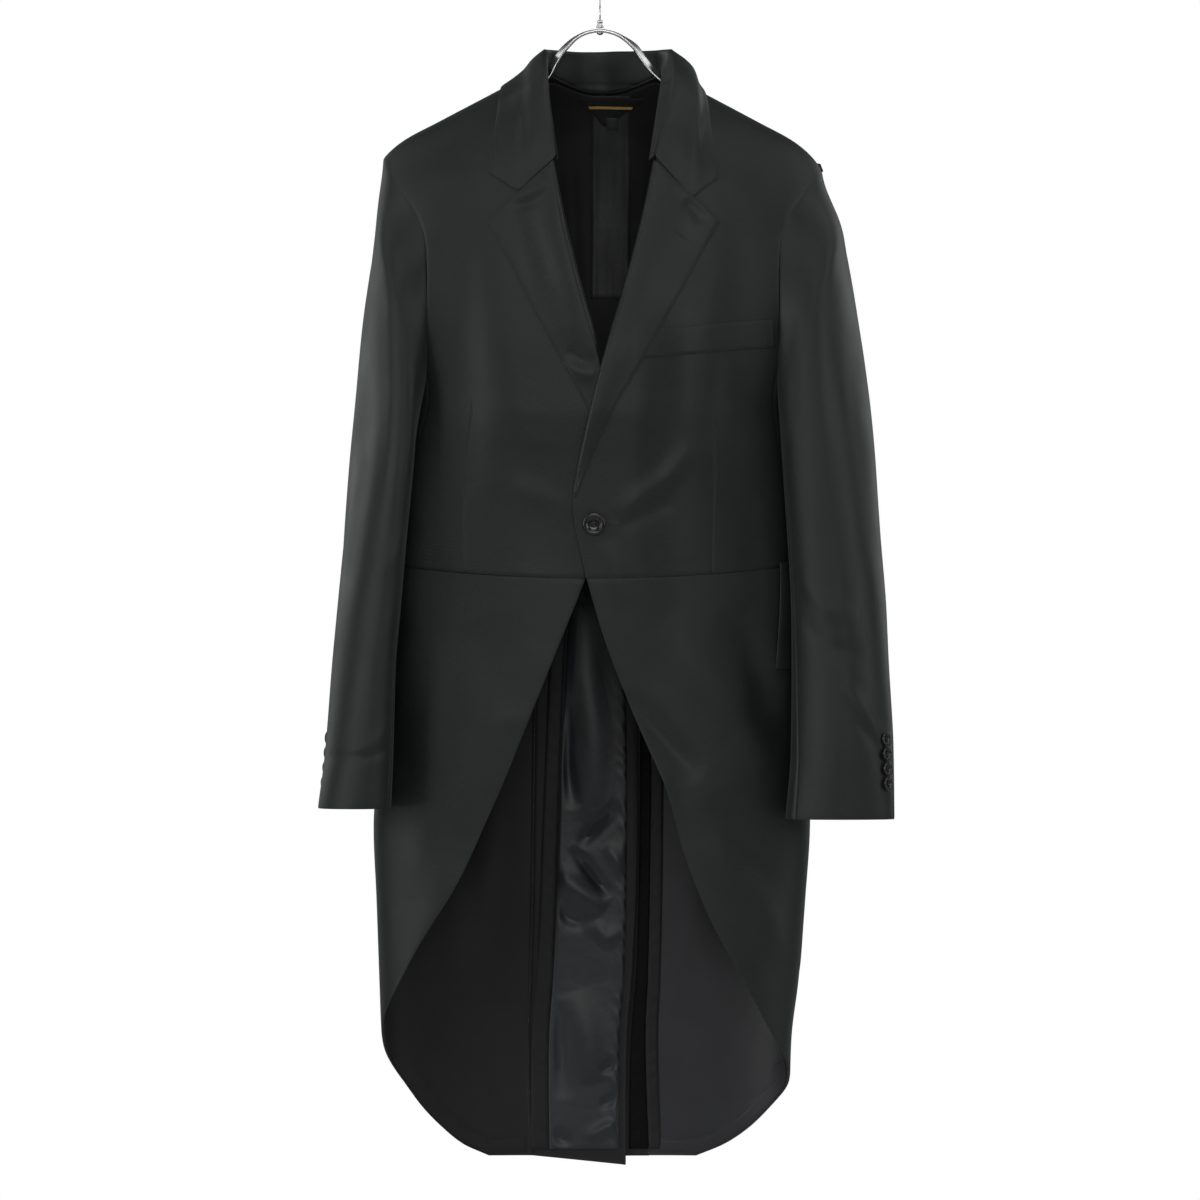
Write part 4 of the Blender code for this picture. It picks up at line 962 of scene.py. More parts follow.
# %% Backs, cut in one with the tail strips
# share across, length: the strips' hems slant
STRIP_HEM = {RIGHT: ((0, 9.0), (1, 0.0)), LEFT: ((0, 1.2), (1, 0.3))}
HEM_ROWS = 6                     # the rows that are drawn out to that slant


def back(side):
    def surface(u, v):
        row = v * HEM_ROW
        girth, drop = between(centre_back(side, row), back_side_seam(row), u)
        drop = to_ridge(side, girth, drop, row)
        longer = follow(STRIP_HEM[side], u)[..., 0]
        drop = drop + longer * share_of(row, HEM_ROW - HEM_ROWS, HEM_ROW)
        return lifted(side, girth, drop, vent_lift(side, girth, drop))

    word = SIDES[side]
    lay_cloth(f"back_{word}", surface, TO_BACK, sewn="tza", relief=body_folds,
              inside=lining_dull, step=LONG_STEP)


# %% Skirts, cut away in front and rounded at the hem
WAIST_FADE = 4                   # power by which the rows lose the waist seam's slant


def skirt(side):
    def surface(u, v):
        row = WAIST_ROW + v * (HEM_ROW - WAIST_ROW)
        slant = (1 - v) ** WAIST_FADE
        strip, drop = back_side_seam(row)
        at_edge = drop + (WAIST - drop[:1]) * slant
        edge = skirt_edge(side, at_edge)
        girth, drop = between((edge, at_edge), (strip, drop), u)
        drop = drop + (waist_drop(girth) - drop[:1]) * slant
        return lifted(side, girth, drop, lap_lift(side, girth, drop))

    word = SIDES[side]
    # the inside of the wearer's left skirt takes the lighter taffeta: painted light
    lay_cloth(f"skirt_{word}", surface, (side, 0, 0), sewn="tz", relief=body_folds,
              inside=lining_painted_light if side == LEFT else lining_dull, step=LONG_STEP)


for side in (LEFT, RIGHT):
    forepart(side)
    side_body(side)
    back(side)
    skirt(side)

# %% [markdown]
# ## Sleeves
#
# A tailored sleeve has two pieces, the topsleeve outside and the undersleeve against the
# body, and it hangs forward at the elbow. Its head is eased into the armhole seam. Here
# both pieces are laid on oval sections that leave the body's own armhole curve, so the
# sleeve and the body meet in one groove.

# %% Sleeve sections
# drop, inner, outer, forward, deep, turned
SLEEVE = {
    LEFT: (
        (180, 178, 208, 0, 30, 0), (200, 172, 216, 0, 46, 0), (230, 167, 224, 3, 56, 3),
        (281, 163, 232.5, 8, 61, 10), (323, 163, 238.5, 14, 62, 15),
        (397, 165, 248.5, 26, 60, 20), (449, 168, 254, 34, 58, 20),
        (530, 173.4, 260.4, 42, 56, 18), (590, 176.5, 265, 47, 53, 15),
        (641, 177, 267, 53, 49, 12), (723, 176, 271, 62, 42, 8),
        (786, 170.7, 271.6, 67, 34, 4),
    ),
    RIGHT: (
        (180, 176, 204, 0, 30, 0), (200, 170, 206, 0, 46, 0), (230, 163, 208, 3, 57, 2),
        (281, 158, 214, 8, 64, 8), (323, 161, 219, 14, 66, 12),
        (397, 168, 225.5, 24, 66, 17), (449, 171, 230.5, 32, 64, 18),
        (530, 178.5, 238, 40, 60, 17), (590, 183.5, 243.5, 47, 56, 16),
        (641, 188, 248, 53, 53, 15), (723, 190.5, 254, 63, 47, 13),
        (776, 192.5, 260.5, 68, 43, 12),
    ),
}
CUFF_DROP = {LEFT: 785.0, RIGHT: 775.0}
HEAD_EASE = 60.0                 # the sleeve takes its own section within this drop
SLEEVE_UNDER = 1.5               # how far the sleeve's seam reaches inside the armhole
UNDER_ROWS = (2, 5)              # from these armhole rows on
HEAD_SMOOTH = 40.0               # the sleeve's folds start within this length
# share of the length, turn: the back seam runs down to the cuff's buttons
FRONT_SEAM = ((0, -54), (1, -54))
BACK_SEAM = {
    LEFT: ((0, 126), (0.6, 118), (1, 79)),
    RIGHT: ((0, 126), (0.5, 130), (1, 154)),
}
CLOSER_ABOVE = 1.5              # power that sets rows closer together at a piece's top
# path of (turn, drop), width, height: turn is 0 in front and 90 on the outer side
SLEEVE_FOLDS = {
    LEFT: (
        (((60, 230), (30, 300), (20, 400), (10, 520)), 16, 2.4),
        (((20, 250), (-10, 330), (-20, 430)), 14, -2.4),
        (((80, 300), (70, 420), (75, 560)), 18, -1.8),
        (((-30, 560), (0, 590), (40, 600)), 11, 2.2),
        (((-36, 600), (0, 628), (46, 634)), 9, -2.0),
        (((10, 660), (40, 690), (62, 722)), 8, 2.2),
        (((20, 690), (44, 712), (58, 738)), 6, -1.6),
        (((110, 260), (126, 380), (140, 520)), 22, 2.4),
        (((170, 280), (176, 420), (170, 560)), 22, -2.4),
        (((140, 560), (170, 600), (200, 610)), 14, 2.0),
    ),
    RIGHT: (
        (((70, 220), (30, 300), (24, 420), (16, 540)), 16, 2.4),
        (((30, 240), (0, 330), (-12, 450)), 14, -2.4),
        (((84, 320), (76, 460), (80, 600)), 18, -1.6),
        (((-30, 520), (0, 548), (40, 556)), 12, 1.8),
        (((-34, 700), (0, 716), (46, 724)), 7, 1.6),
        (((-44, 722), (0, 726), (60, 728), (88, 726)), 4, -1.5),
        (((110, 270), (124, 390), (136, 530)), 22, 2.4),
        (((170, 290), (176, 430), (170, 570)), 22, -2.2),
        (((140, 600), (176, 630), (206, 640)), 14, 1.8),
    ),
}


def sleeve_section(side, turn, drop):
    """A point on a sleeve's section."""
    inner, outer, forward, deep, turned = np.moveaxis(follow(SLEEVE[side], drop), -1, 0)
    swing = np.radians(turned)
    half = (outer - inner) / 2
    thin = np.sqrt(half ** 2 - (deep * np.sin(swing)) ** 2) / np.cos(swing)
    side_way = thin * np.sin(np.radians(turn))
    depth_way = -deep * np.cos(np.radians(turn))
    out = (inner + outer) / 2 + side_way * np.cos(swing) + depth_way * np.sin(swing)
    y = -forward - side_way * np.sin(swing) + depth_way * np.cos(swing)
    return np.stack([side * out, y, -drop], axis=-1)


def armhole_point(side, turn):
    """The armhole seam, moved at its top onto the shoulder ridge as the panels are."""
    place = (turn - 90) / ARMHOLE_STEP
    drop = armhole_drop(place)
    in_front = np.cos(np.radians(turn)) > 0
    girth = np.where(in_front, armhole_girth(drop, BODY_FRONT), armhole_girth(drop, BODY_BACK))
    top = on_ridge(side, armhole_girth(ARMHOLE_TOP, BODY_FRONT), ARMHOLE_TOP)
    near_top = np.clip(1 - np.abs(place) / RIDGE_ROWS, 0, 1) ** 2
    drop = drop + (top - ARMHOLE_TOP) * near_top
    seam = on_body(side, girth, drop)
    seam[..., 0] -= side * SLEEVE_UNDER * share_of(np.abs(place), *UNDER_ROWS)
    return seam, drop


def sleeve_piece(node_name, side, first_seam, last_seam, outward):
    def turn_at(u, v):
        first, last = follow(first_seam, v)[..., 0], follow(last_seam, v)[..., 0]
        return first + (last - first) * u

    def surface(u, v):
        seam, top_drop = armhole_point(side, turn_at(u, np.zeros_like(v)))
        drop = top_drop + (CUFF_DROP[side] - top_drop) * v ** CLOSER_ABOVE
        section = sleeve_section(side, turn_at(u, v), drop)
        share = np.clip((drop - top_drop) / HEAD_EASE, 0, 1)[..., None]
        place = seam + (section - seam) * np.sin(math.pi / 2 * share)
        place[..., 2] = -drop
        return place

    def relief(at):
        turn = turn_at(at.u, at.v)
        return folds(turn, at.drop, SLEEVE_FOLDS[side]) * share_of(at.t, 0, HEAD_SMOOTH)

    lay_cloth(node_name, surface, outward, sewn="az", relief=relief, inside=lining_dull,
              step=SLEEVE_STEP)


for side in (LEFT, RIGHT):
    word = SIDES[side]
    sleeve_piece(f"topsleeve_{word}", side, FRONT_SEAM, BACK_SEAM[side], (side, -0.5, 0))
    front_again = tuple((share, turn + 360) for share, turn in FRONT_SEAM)
    sleeve_piece(f"undersleeve_{word}", side, BACK_SEAM[side], front_again, (-side, 0.5, 0))

# %% [markdown]
# ## Collar and lapels
#
# A collar stands up inside, turns over a soft fold and falls onto the shoulders. A lapel
# is the forepart's own edge rolled outwards. Both are single cloths that roll, so each
# is drawn across as one line: the collar up, over and down, the lapel from inside the
# front round the roll and out to its edge. They meet in the slanting gorge seam.

# %% Collar
# base_out, base_drop, fold_drop, lean, mid_out, mid_below, stand_off, edge_out, edge_below
COLLAR = (
    (0, 109, 73.0, -1.0, 0, -57, 1.0, 0, -70),
    (17, 106.5, 72.3, -1.0, 23, -42, 1.0, 29, -55),
    (36, 99.5, 71.6, -1.0, 50, -21, 2.0, 64, -31),
    (50, 93, 72.0, -1.5, 67, -5, 4.0, 88, -7),
    (54.3, 89.4, 73.0, -1.0, 73, 0, 4.5, 93.5, 0),
    (52.3, 106, 92.0, -0.5, 74.5, 14.0, 3.0, 96, 8),
    (49.6, 126, 118.0, 0.0, 76, 42.0, 1.0, 99, 31),
    (45.8, 150, 145.0, 0.5, 77.5, 74.0, 0.2, 102.5, 52),
    (41.5, 177, 173.5, 0.8, 79, 105.2, 0.0, 105.5, 75.2),
)
# How much further out the fold stands, and the fall stands off, at each of these sections
COLLAR_OPEN = {
    LEFT: (0, 0, 1, 3.5, 7.5, 12, 12, 8, 3.5),
    RIGHT: (0, 0, 0, -0.5, -1, -0.5, 0, 0, 0),
}
COLLAR_FULL = {
    LEFT: (0, 0, 1, 4.5, 10, 9, 4, 0.5, 0),
    RIGHT: (0, 0, 0, 0, -0.5, 0, 0, 0, 0),
}
NECK_POINT, NECK_EASE = (56.0, 89.4), 12.0
STAND_GAP = 0.4
NECK_OVAL = 1.2                  # the neck is this much wider than deep
MIDDLE_FOLLOWS = 0.7             # how much of the fold's opening the fall's middle takes
COLLAR_LIE = 2.4                 # the fall's outer face above the shoulder
FOLD_HALF, FOLD_ROUND = 3.0, 2.0
FALL_BOW = (1.5, 1.5, 1.2, 0.8, 0.8, 0.8, 0.8, 0.6, -0.6)
COLLAR_THICK = 1.4
# The seam between the collar and its stand, inside: its drop, half width and depth, and
# where it shows: above this drop, within this share of the way up and over
STAND_SEAM_DROP, STAND_SEAM_WIDE, STAND_SEAM_DIP = 102.3, 1.1, 0.8
STAND_FOOT, STAND_SHARE = 112, 0.25
# Soft waves behind the neck, near the fold: height, length, start, depths where they grow
WAVE_HIGH, WAVE_LENGTH, WAVE_START, WAVE_DEPTHS = 1.1, 11.0, 0.8, (10, 25)
FOLD_DROP, FOLD_NEAR = 78, 12


def below_ridge(side, out, below, lift):
    """A point on the cloth given by how far it lies below the shoulder ridge."""
    drop = ridge(NECK_CENTRE + side * out) + np.abs(below)
    girth = girth_at(out, drop, BODY_FRONT if below > 0 else BODY_BACK)
    return lifted(side, girth, drop, lift)


def neck_shift(side, drop):
    """How far the panels' tops are moved to meet the ridge, near the neck point."""
    out, nominal = NECK_POINT
    fade = np.clip(1 - np.abs(drop - nominal) / NECK_EASE, 0, 1) ** 2
    return (ridge(NECK_CENTRE + side * out) - nominal) * fade


def collar_section(side, station):
    """Nine points across the collar: up the stand, over the fold, down the fall."""
    (base_out, base_drop, fold_drop, lean, mid_out, mid_below, stand_off,
     edge_out, edge_below) = COLLAR[station]
    up = np.array([0.0, 0.0, 1.0])
    face = BODY_BACK if mid_below < 0 else BODY_FRONT
    base_at = base_drop + neck_shift(side, base_drop)
    base = lifted(side, girth_at(base_out, base_at, face), base_at, -SHELL)
    base = base + up * STAND_GAP
    rise = -fold_drop - base[2]
    away = np.array([base[0] - NECK_CENTRE, base[1] * NECK_OVAL, 0.0])
    away /= np.linalg.norm(away)
    opened = COLLAR_OPEN[side][station]
    mid_out = mid_out + opened * MIDDLE_FOLLOWS
    stand_off = stand_off + COLLAR_FULL[side][station]
    top = base + up * rise + away * (lean + FOLD_HALF)
    top[0] += side * opened
    inner, outer = top - away * FOLD_HALF, top + away * FOLD_HALF
    middle = below_ridge(side, mid_out, mid_below, COLLAR_LIE + stand_off)
    half_way = ((mid_out + edge_out) / 2, (mid_below + edge_below) / 2)
    lower = below_ridge(side, *half_way, COLLAR_LIE + stand_off / 3)
    edge = below_ridge(side, edge_out, edge_below, COLLAR_LIE)
    bow = (outer + middle) / 2 + (away + up) * FALL_BOW[station]
    return [base, (base + inner) / 2, inner, top + up * FOLD_ROUND, outer, bow, middle,
            lower, edge]


def collar():
    last_station = len(COLLAR) - 1
    sections = [collar_section(RIGHT, k) for k in range(last_station, 0, -1)]
    sections += [collar_section(LEFT, k) for k in range(last_station + 1)]
    rows = [(k, *np.ravel(section)) for k, section in enumerate(sections)]
    last = len(rows) - 1
    lines = np.array(sections).shape[1] - 1

    def surface(u, v):
        points = follow(rows, u[0] * last).reshape(u.shape[1], -1, 3)
        down = v[:, 0] * lines
        out = np.empty((*u.shape, 3))
        for i, section in enumerate(points):
            table = np.column_stack([np.arange(lines + 1), section])
            out[:, i] = follow(table, down)
        return out

    def relief(at):
        standing = (at.drop < STAND_FOOT) * (at.v < STAND_SHARE)
        seam = bell(at.drop - STAND_SEAM_DROP, STAND_SEAM_WIDE) * standing
        waves = WAVE_HIGH * np.sin(at.x / WAVE_LENGTH + WAVE_START)
        behind = share_of(at.y, *WAVE_DEPTHS) * bell(at.drop - FOLD_DROP, FOLD_NEAR)
        return waves * behind - STAND_SEAM_DIP * seam

    lay_cloth("collar", surface, (0, -1, 0.3), sewn="t", relief=relief, step=COLLAR_STEP,
              thick=COLLAR_THICK)


collar()

# %% Lapels
# row, edge, edge_drop
LAPEL_EDGE = (
    (0, 107.5, 232.5), (1, 84, 275), (2, 61, 318), (3, 38, 360), (4, 14, 403),
    (5, -6, 450), (6, -19.5, 487),
)
# row, roll, roll_drop
LAPEL_ROLL = (
    (0, 45.8, 177.5), (1, 35, 230), (2, 20, 290), (3, 5, 343), (4, -8.5, 400),
    (5, -17, 450), (6, -21.5, 484),
)
# row, radius of the roll: soft on the wearer's right, pressed flatter on the left
ROLL_RADIUS = {
    RIGHT: ((0, 4.6), (1, 6.6), (2, 6.2), (3, 4.2), (4, 3.1), (5, 2.6), (6, 1.7)),
    LEFT: ((0, 4.2), (1, 4.2), (2, 4.0), (3, 3.8), (4, 3.6), (5, 3.0), (6, 1.7)),
}
LAPEL_ROWS = len(LAPEL_ROLL) - 1
LAPEL_THICK = 1.2
LAPEL_INSIDE = -(SHELL + 0.2 + LAPEL_THICK)
LAPEL_LIE = 2.3                  # the outer face above the forepart, at the outer edge
LAPEL_SETTLE = 46.0              # the roll's height is lost within this distance
ROLL_STARTS, ROLL_ENDS = 0.08, 0.20
TUCKED = 9.0                     # how far the facing shows inside the front
LAPEL_FOLDS = {
    RIGHT: (
        (((-44, 192), (-58, 204), (-80, 214)), 5, 1.6),
        (((-44, 204), (-62, 216), (-86, 222)), 5, -1.4),
        (((-30, 352), (-16, 362), (-4, 366)), 6, -1.8),
        (((-34, 366), (-18, 374), (-4, 376)), 6, 1.6),
        (((-60, 240), (-48, 290), (-30, 330)), 14, -1.6),
    ),
    LEFT: (
        (((78, 214), (88, 222), (96, 236)), 6, -1.4),
        (((60, 230), (44, 290), (26, 350)), 14, -1.0),
        (((70, 200), (84, 212), (98, 226)), 5, 0.9),
    ),
}


def lapel_surface(side):
    def surface(u, v):
        row = v * LAPEL_ROWS
        roll, roll_drop = np.moveaxis(follow(LAPEL_ROLL, row), -1, 0)
        edge, edge_drop = np.moveaxis(follow(LAPEL_EDGE, row), -1, 0)
        radius = follow(ROLL_RADIUS[side], row)[..., 0]
        width = np.hypot(edge - roll, edge_drop - roll_drop)
        way, way_down = (edge - roll) / width, (edge_drop - roll_drop) / width
        leaf = np.maximum(width - radius, 0.5)
        tuck = np.minimum(TUCKED, leaf)
        turn = math.pi * (np.clip((u - ROLL_STARTS) / (ROLL_ENDS - ROLL_STARTS), 0, 1) - 0.5)
        out_on_leaf = leaf * np.clip((u - ROLL_ENDS) / (1 - ROLL_ENDS), 0, 1)
        in_tuck = tuck * np.clip(1 - u / ROLL_STARTS, 0, 1)
        along = radius * (1 - np.cos(turn)) + out_on_leaf + in_tuck
        height = LAPEL_INSIDE + radius * (1 + np.sin(turn))
        settle = 1 - share_of(out_on_leaf, 0, np.minimum(LAPEL_SETTLE, leaf))
        lift = np.where(u > ROLL_ENDS, LAPEL_LIE + (height - LAPEL_LIE) * settle, height)
        out, drop = roll + way * along, roll_drop + way_down * along
        girth = girth_at(out, drop)
        return lifted(side, girth, drop, lap_lift(side, girth, drop) + lift)

    return surface


def lapel(side):
    def relief(at):
        outside = share_of(at.u, ROLL_STARTS, ROLL_ENDS)
        return folds(at.x, at.drop, LAPEL_FOLDS[side]) * outside

    word = SIDES[side]
    lay_cloth(f"lapel_{word}", lapel_surface(side), TO_FRONT, relief=relief,
              step=SMALL_STEP, thick=LAPEL_THICK)


for side in (LEFT, RIGHT):
    lapel(side)


# %% Patches: four-cornered pieces that lie on the body
def patch_surface(side, corners, face, lift=0.0):
    """A piece given by its four corners (out, drop), lifted off the body."""
    first, second, third, fourth = np.array(corners, dtype=float)

    def surface(u, v):
        u, v = u[..., None], v[..., None]
        top = first + (second - first) * u
        bottom = third + (fourth - third) * u
        out, drop = np.moveaxis(top + (bottom - top) * v, -1, 0)
        girth = girth_at(out, drop, face)
        extra = lap_lift(side, girth, drop) + vent_lift(side, girth, drop)
        return lifted(side, girth, drop, extra + lift)

    return surface


# %% Thread work
TRIM_POINTS, TRIM_THICK = (28, 9), 0.4


def lay_trim(name, surface, finish, relief):
    """Stitches on a cloth that faces the front, raised off surface(u, v) by relief(at)."""
    across, down = (np.linspace(0, 1, count) for count in TRIM_POINTS)
    laid = sampled(surface, across, down)
    v, u = np.meshgrid(down, across, indexing="ij")
    at = SimpleNamespace(u=u, v=v, x=laid[..., 0], drop=-laid[..., 2])
    normal, forward = grid_normals(laid, TO_FRONT)
    laid = laid + normal * relief(at)[..., None]
    made = show(name, grid_mesh(name, laid, forward))
    made.data.materials.append(finish)
    wall(made, TRIM_THICK)
    print(f"{name}: {run_along(laid, 1)[:, -1].max():.1f} mm long")


# %% Buttonholes, worked over with close stitches of thread
HOLE_HIGH, HOLE_DEEP = 0.55, 0.5     # its raised lips, and the slit between them
SLIT_HALF, SLIT_STARTS, SLIT_ENDS = 0.12, (0.03, 0.1), (0.9, 0.97)
# The lapel's buttonhole, in shares of the lapel's width and height
HOLE_START, HOLE_LONG = 0.585, 0.225
HOLE_DOWN, HOLE_RISE, HOLE_HALF = 0.1265, 0.006, 0.0042
# out, drop: the front's runs back from under the button; its foot end shows past the rim
FRONT_HOLE = ((8.0, 508.5), (22.0, 510.5), (8.0, 511.2), (22.0, 513.2))


def buttonhole_relief(table):
    """Two raised lips with a slit between them, closed at both ends."""
    def relief(at):
        lips = np.sqrt(np.clip(1 - (2 * at.v - 1) ** 2, 0, 1))
        open_part = share_of(at.u, *SLIT_STARTS) * (1 - share_of(at.u, *SLIT_ENDS))
        slit = bell(at.v - 0.5, SLIT_HALF) * open_part
        return folds(at.x, at.drop, table) + HOLE_HIGH * lips - HOLE_DEEP * slit
    return relief


def lapel_hole(u, v):
    return lapel_surface(LEFT)(HOLE_START + HOLE_LONG * u,
                               HOLE_DOWN - HOLE_RISE * u + HOLE_HALF * (2 * v - 1))


for name, surface, table in (
    ("lapel_buttonhole", lapel_hole, LAPEL_FOLDS[LEFT]),
    ("front_buttonhole", patch_surface(LEFT, FRONT_HOLE, BODY_FRONT), FRONT_FOLDS),
):
    lay_trim(name, surface, thread_black, buttonhole_relief(table))

# %% [markdown]
# ## Pockets and linings
#
# The breast pocket shows only its welt, a band of the same cloth stitched down at its
# foot and ends. The hip flaps hang from the waist seam. Inside, smooth lining covers the
# back, with a pleat at its centre for ease, and each tail strip has its own.

# %% Breast welt
WELT = ((48, 333.5), (155.5, 323.5), (33, 361), (156.4, 349.6))
WELT_THICK, WELT_CLEAR = 1.3, 0.3
STITCH_IN, STITCH_WIDE = 4.5, 0.9    # the seam across its outer end, 1 mm deep


def welt_relief(at):
    return folds(at.x, at.drop, FRONT_FOLDS) - bell(at.z - STITCH_IN, STITCH_WIDE)


lay_cloth("breast_welt", patch_surface(LEFT, WELT, BODY_FRONT, WELT_CLEAR + WELT_THICK),
          TO_FRONT, sewn="fz", relief=welt_relief, step=SMALL_STEP, thick=WELT_THICK)

# %% Hip flaps
FLAP_FRONT = {LEFT: (165.0, 165.0), RIGHT: (180.5, 185.5)}
FLAP_BACK = 1.30
FLAP_TOP, FLAP_DEEP, FLAP_DEEPER = 1.0, 98.0, 9.0
FLAP_CLEAR, FLAP_BOW = 1.6, 1.5


def hip_flap(side):
    front_top, front_bottom = FLAP_FRONT[side]

    def surface(u, v):
        waist = waist_drop(1.0)
        front = front_top + (front_bottom - front_top) * v
        drop = waist + FLAP_TOP + (FLAP_DEEP + FLAP_DEEPER * u) * v
        start = girth_at(front, drop)
        girth = start + (FLAP_BACK - start) * u
        bow = FLAP_BOW * np.sin(math.pi * v)
        return lifted(side, girth, drop, FLAP_CLEAR + WELT_THICK + bow)

    word = SIDES[side]
    lay_cloth(f"hip_flap_{word}", surface, (side, 0, 0), sewn="t", thick=WELT_THICK,
              relief=body_folds, inside=lining_dull)


for side in (LEFT, RIGHT):
    hip_flap(side)

# %% Back lining, its pleat, the bare label and tab
LINING_SIDE, LINING_FOOT = 100.0, 425.0
LINING_TOP = ((0, 111.5), (17, 109), (36, 102.5), (50, 98), (62, 102), (100, 130))
LINING_IN = SHELL + 3.4          # the lining hangs this far inside the back
LAYER = LINING + 0.5             # from one layer to the next
PLEAT = ((-12, 110), (26, 110), (-12, 300), (26, 300))
LABEL = ((-24, 111.5), (41, 111.5), (0.5, 138.5), (3.5, 138.5))
TAB = ((3, 130), (14, 130), (3, 141), (14, 141))
GOLD_LINE = ((-14.6, 119.4), (29.0, 119.4), (-13.6, 121.8), (28.0, 121.8))
GOLD_LIFT, GOLD_HIGH = 0.2, 0.3
# The pleat's middle crease and pressed edges: depth or height, half width, distance in
CREASE_DIP, CREASE_WIDE = 0.7, 1.6
PRESSED_HIGH, PRESSED_IN, PRESSED_WIDE = 0.9, 3.5, 2.2
RIPPLE_HIGH, RIPPLE_DOWN, RIPPLE_ACROSS = 0.5, 17.0, 9.0
LINING_FOLDS = (
    (((-60, 130), (-50, 220), (-44, 330), (-30, 410)), 14, 3.2),
    (((58, 130), (52, 230), (42, 340), (30, 410)), 14, 3.0),
    (((-28, 140), (-26, 240), (-22, 360)), 8, -1.8),
    (((40, 140), (38, 240), (34, 360)), 8, -1.8),
    (((-80, 150), (-76, 260), (-70, 380)), 12, -2.4),
    (((80, 150), (76, 260), (70, 380)), 12, -2.2),
)


def lining_folds(at):
    return folds(at.x, at.drop, LINING_FOLDS)


def back_lining_surface(u, v):
    out = LINING_SIDE * (2 * u - 1)
    top = follow(LINING_TOP, np.abs(out))[..., 0]
    drop = top + (LINING_FOOT - top) * v ** CLOSER_ABOVE
    return lifted(LEFT, girth_at(out, drop, BODY_BACK), drop, -LINING_IN)


def pleat_relief(at):
    middle = -CREASE_DIP * bell(at.a - at.width / 2, CREASE_WIDE)
    ripples = RIPPLE_HIGH * np.sin(at.drop / RIPPLE_DOWN) * np.sin(at.a / RIPPLE_ACROSS)
    pressed = sum(bell(edge - PRESSED_IN, PRESSED_WIDE) for edge in (at.a, at.z))
    return lining_folds(at) + middle + ripples + PRESSED_HIGH * pressed


def lining_layer(corners, layers):
    """A patch that lies so many layers in from the back lining."""
    return patch_surface(LEFT, corners, BODY_BACK, -LINING_IN - layers * LAYER)


# the pleat and the size tab take the lighter taffeta, whose brightness is painted light
# node, surface, finish, relief, spacing, sewn edges, held, rests on
for node_name, surface, finish, relief, step, sewn, held, under in (
    ("back_lining", back_lining_surface, lining_dull, lining_folds, STEP, "taz", "hung",
     "collar"),
    ("lining_pleat", lining_layer(PLEAT, 1), lining_pressed_painted_light, pleat_relief, PLEAT_STEP, "",
     "hung", "back_lining"),
    ("neck_label", lining_layer(LABEL, 2), lining_dull, lining_folds, LABEL_STEP, "",
     "laid", "lining_pleat"),
    ("size_tab", lining_layer(TAB, 3), lining_pressed_painted_light, None, LABEL_STEP, "", "laid",
     "neck_label"),
):
    lay_cloth(node_name, surface, TO_FRONT, finish=finish, relief=relief,
              step=step, sewn=sewn, thick=LINING)
lay_trim("neck_label_line",
         patch_surface(LEFT, GOLD_LINE, BODY_BACK, -LINING_IN - 2 * LAYER - GOLD_LIFT),
         thread_gold, lambda at: lining_folds(at) + GOLD_HIGH)

# %% Tail linings: bright satin with zigzag folds, and the strips gathered beside it
LINING_TOP_DROP, TAIL_FOOT = 566.0, 1097.0
# drop, first, last: out from centre back
TAIL_LINING = {
    RIGHT: ((566, 2, 20), (625, -28, 26), (815, -33, 31.5), (905, -33, 33), (1097, -27, 38)),
    LEFT: ((566, 42, 53), (815, 44.5, 55.5), (905, 44, 55.5), (1097, 36.5, 55.5)),
}
GATHERED = {
    RIGHT: ((566, 21, 40), (625, 27, 42), (815, 32, 47), (905, 33.5, 49), (1097, 38.5, 55)),
    LEFT: ((566, 54, 64), (815, 56, 67), (1097, 56, 67)),
}
SATIN_FOLDS = (
    # one long fold that leans in from the top, then breaks into zigzags
    (((-14, 585), (-13, 650), (-6, 715), (-5, 790)), 15, 4.0),
    (((-35, 680), (-33, 735), (-24, 778)), 7, -3.4),
    (((18, 774), (-2, 794), (-20, 814)), 6, -3.2),
    (((-26, 815), (-9, 838), (9, 860)), 5, -3.0),
    (((-42, 838), (-20, 856), (4, 874)), 10, 3.8),
    (((-42, 868), (-28, 882), (-14, 886)), 6, -2.6),
    (((6, 812), (16, 828), (22, 842)), 6, 2.2),
    (((-6, 884), (6, 900), (20, 892)), 7, 1.8),
    # shallow hollows and ridges down to the hem
    (((-24, 950), (-12, 990), (-6, 1035)), 14, 2.6),
    (((-38, 960), (-36, 1000), (-34, 1050)), 8, -1.8),
    (((0, 1024), (10, 1020), (20, 1012)), 4, -2.0),
    (((0, 1058), (10, 1052), (20, 1044)), 4, -1.8),
    (((-12, 1088), (4, 1078), (20, 1070)), 5, 2.2),
    (((-44, 1080), (-36, 1088), (-26, 1092)), 5, -1.8),
)
INNER_GAP = 0.3                  # between a lining and the cloth outside it
SATIN_SEAM = (0, 8)              # the satin's folds grow over this, in from both edges
VENT_GATHERS, STRIP_GATHERS = (19.0, 0.4, 7.0), (21.0, 0.3, 6.0)   # pitch, height, reach
SATIN_RAISED, STRIP_RAISED = 1.0, 0.8


def puckers(at, near, pitch, height, reach):
    """Small slanting gathers beside a sewn edge, unevenly spaced, fading within a reach."""
    uneven = 0.35 * np.sin(at.drop / 23.0) + 0.25 * np.sin(at.drop / 9.1 + 1.0) + near / 14.0
    return height * np.sin(2 * math.pi * (at.drop / pitch + uneven)) * bell(near, reach)


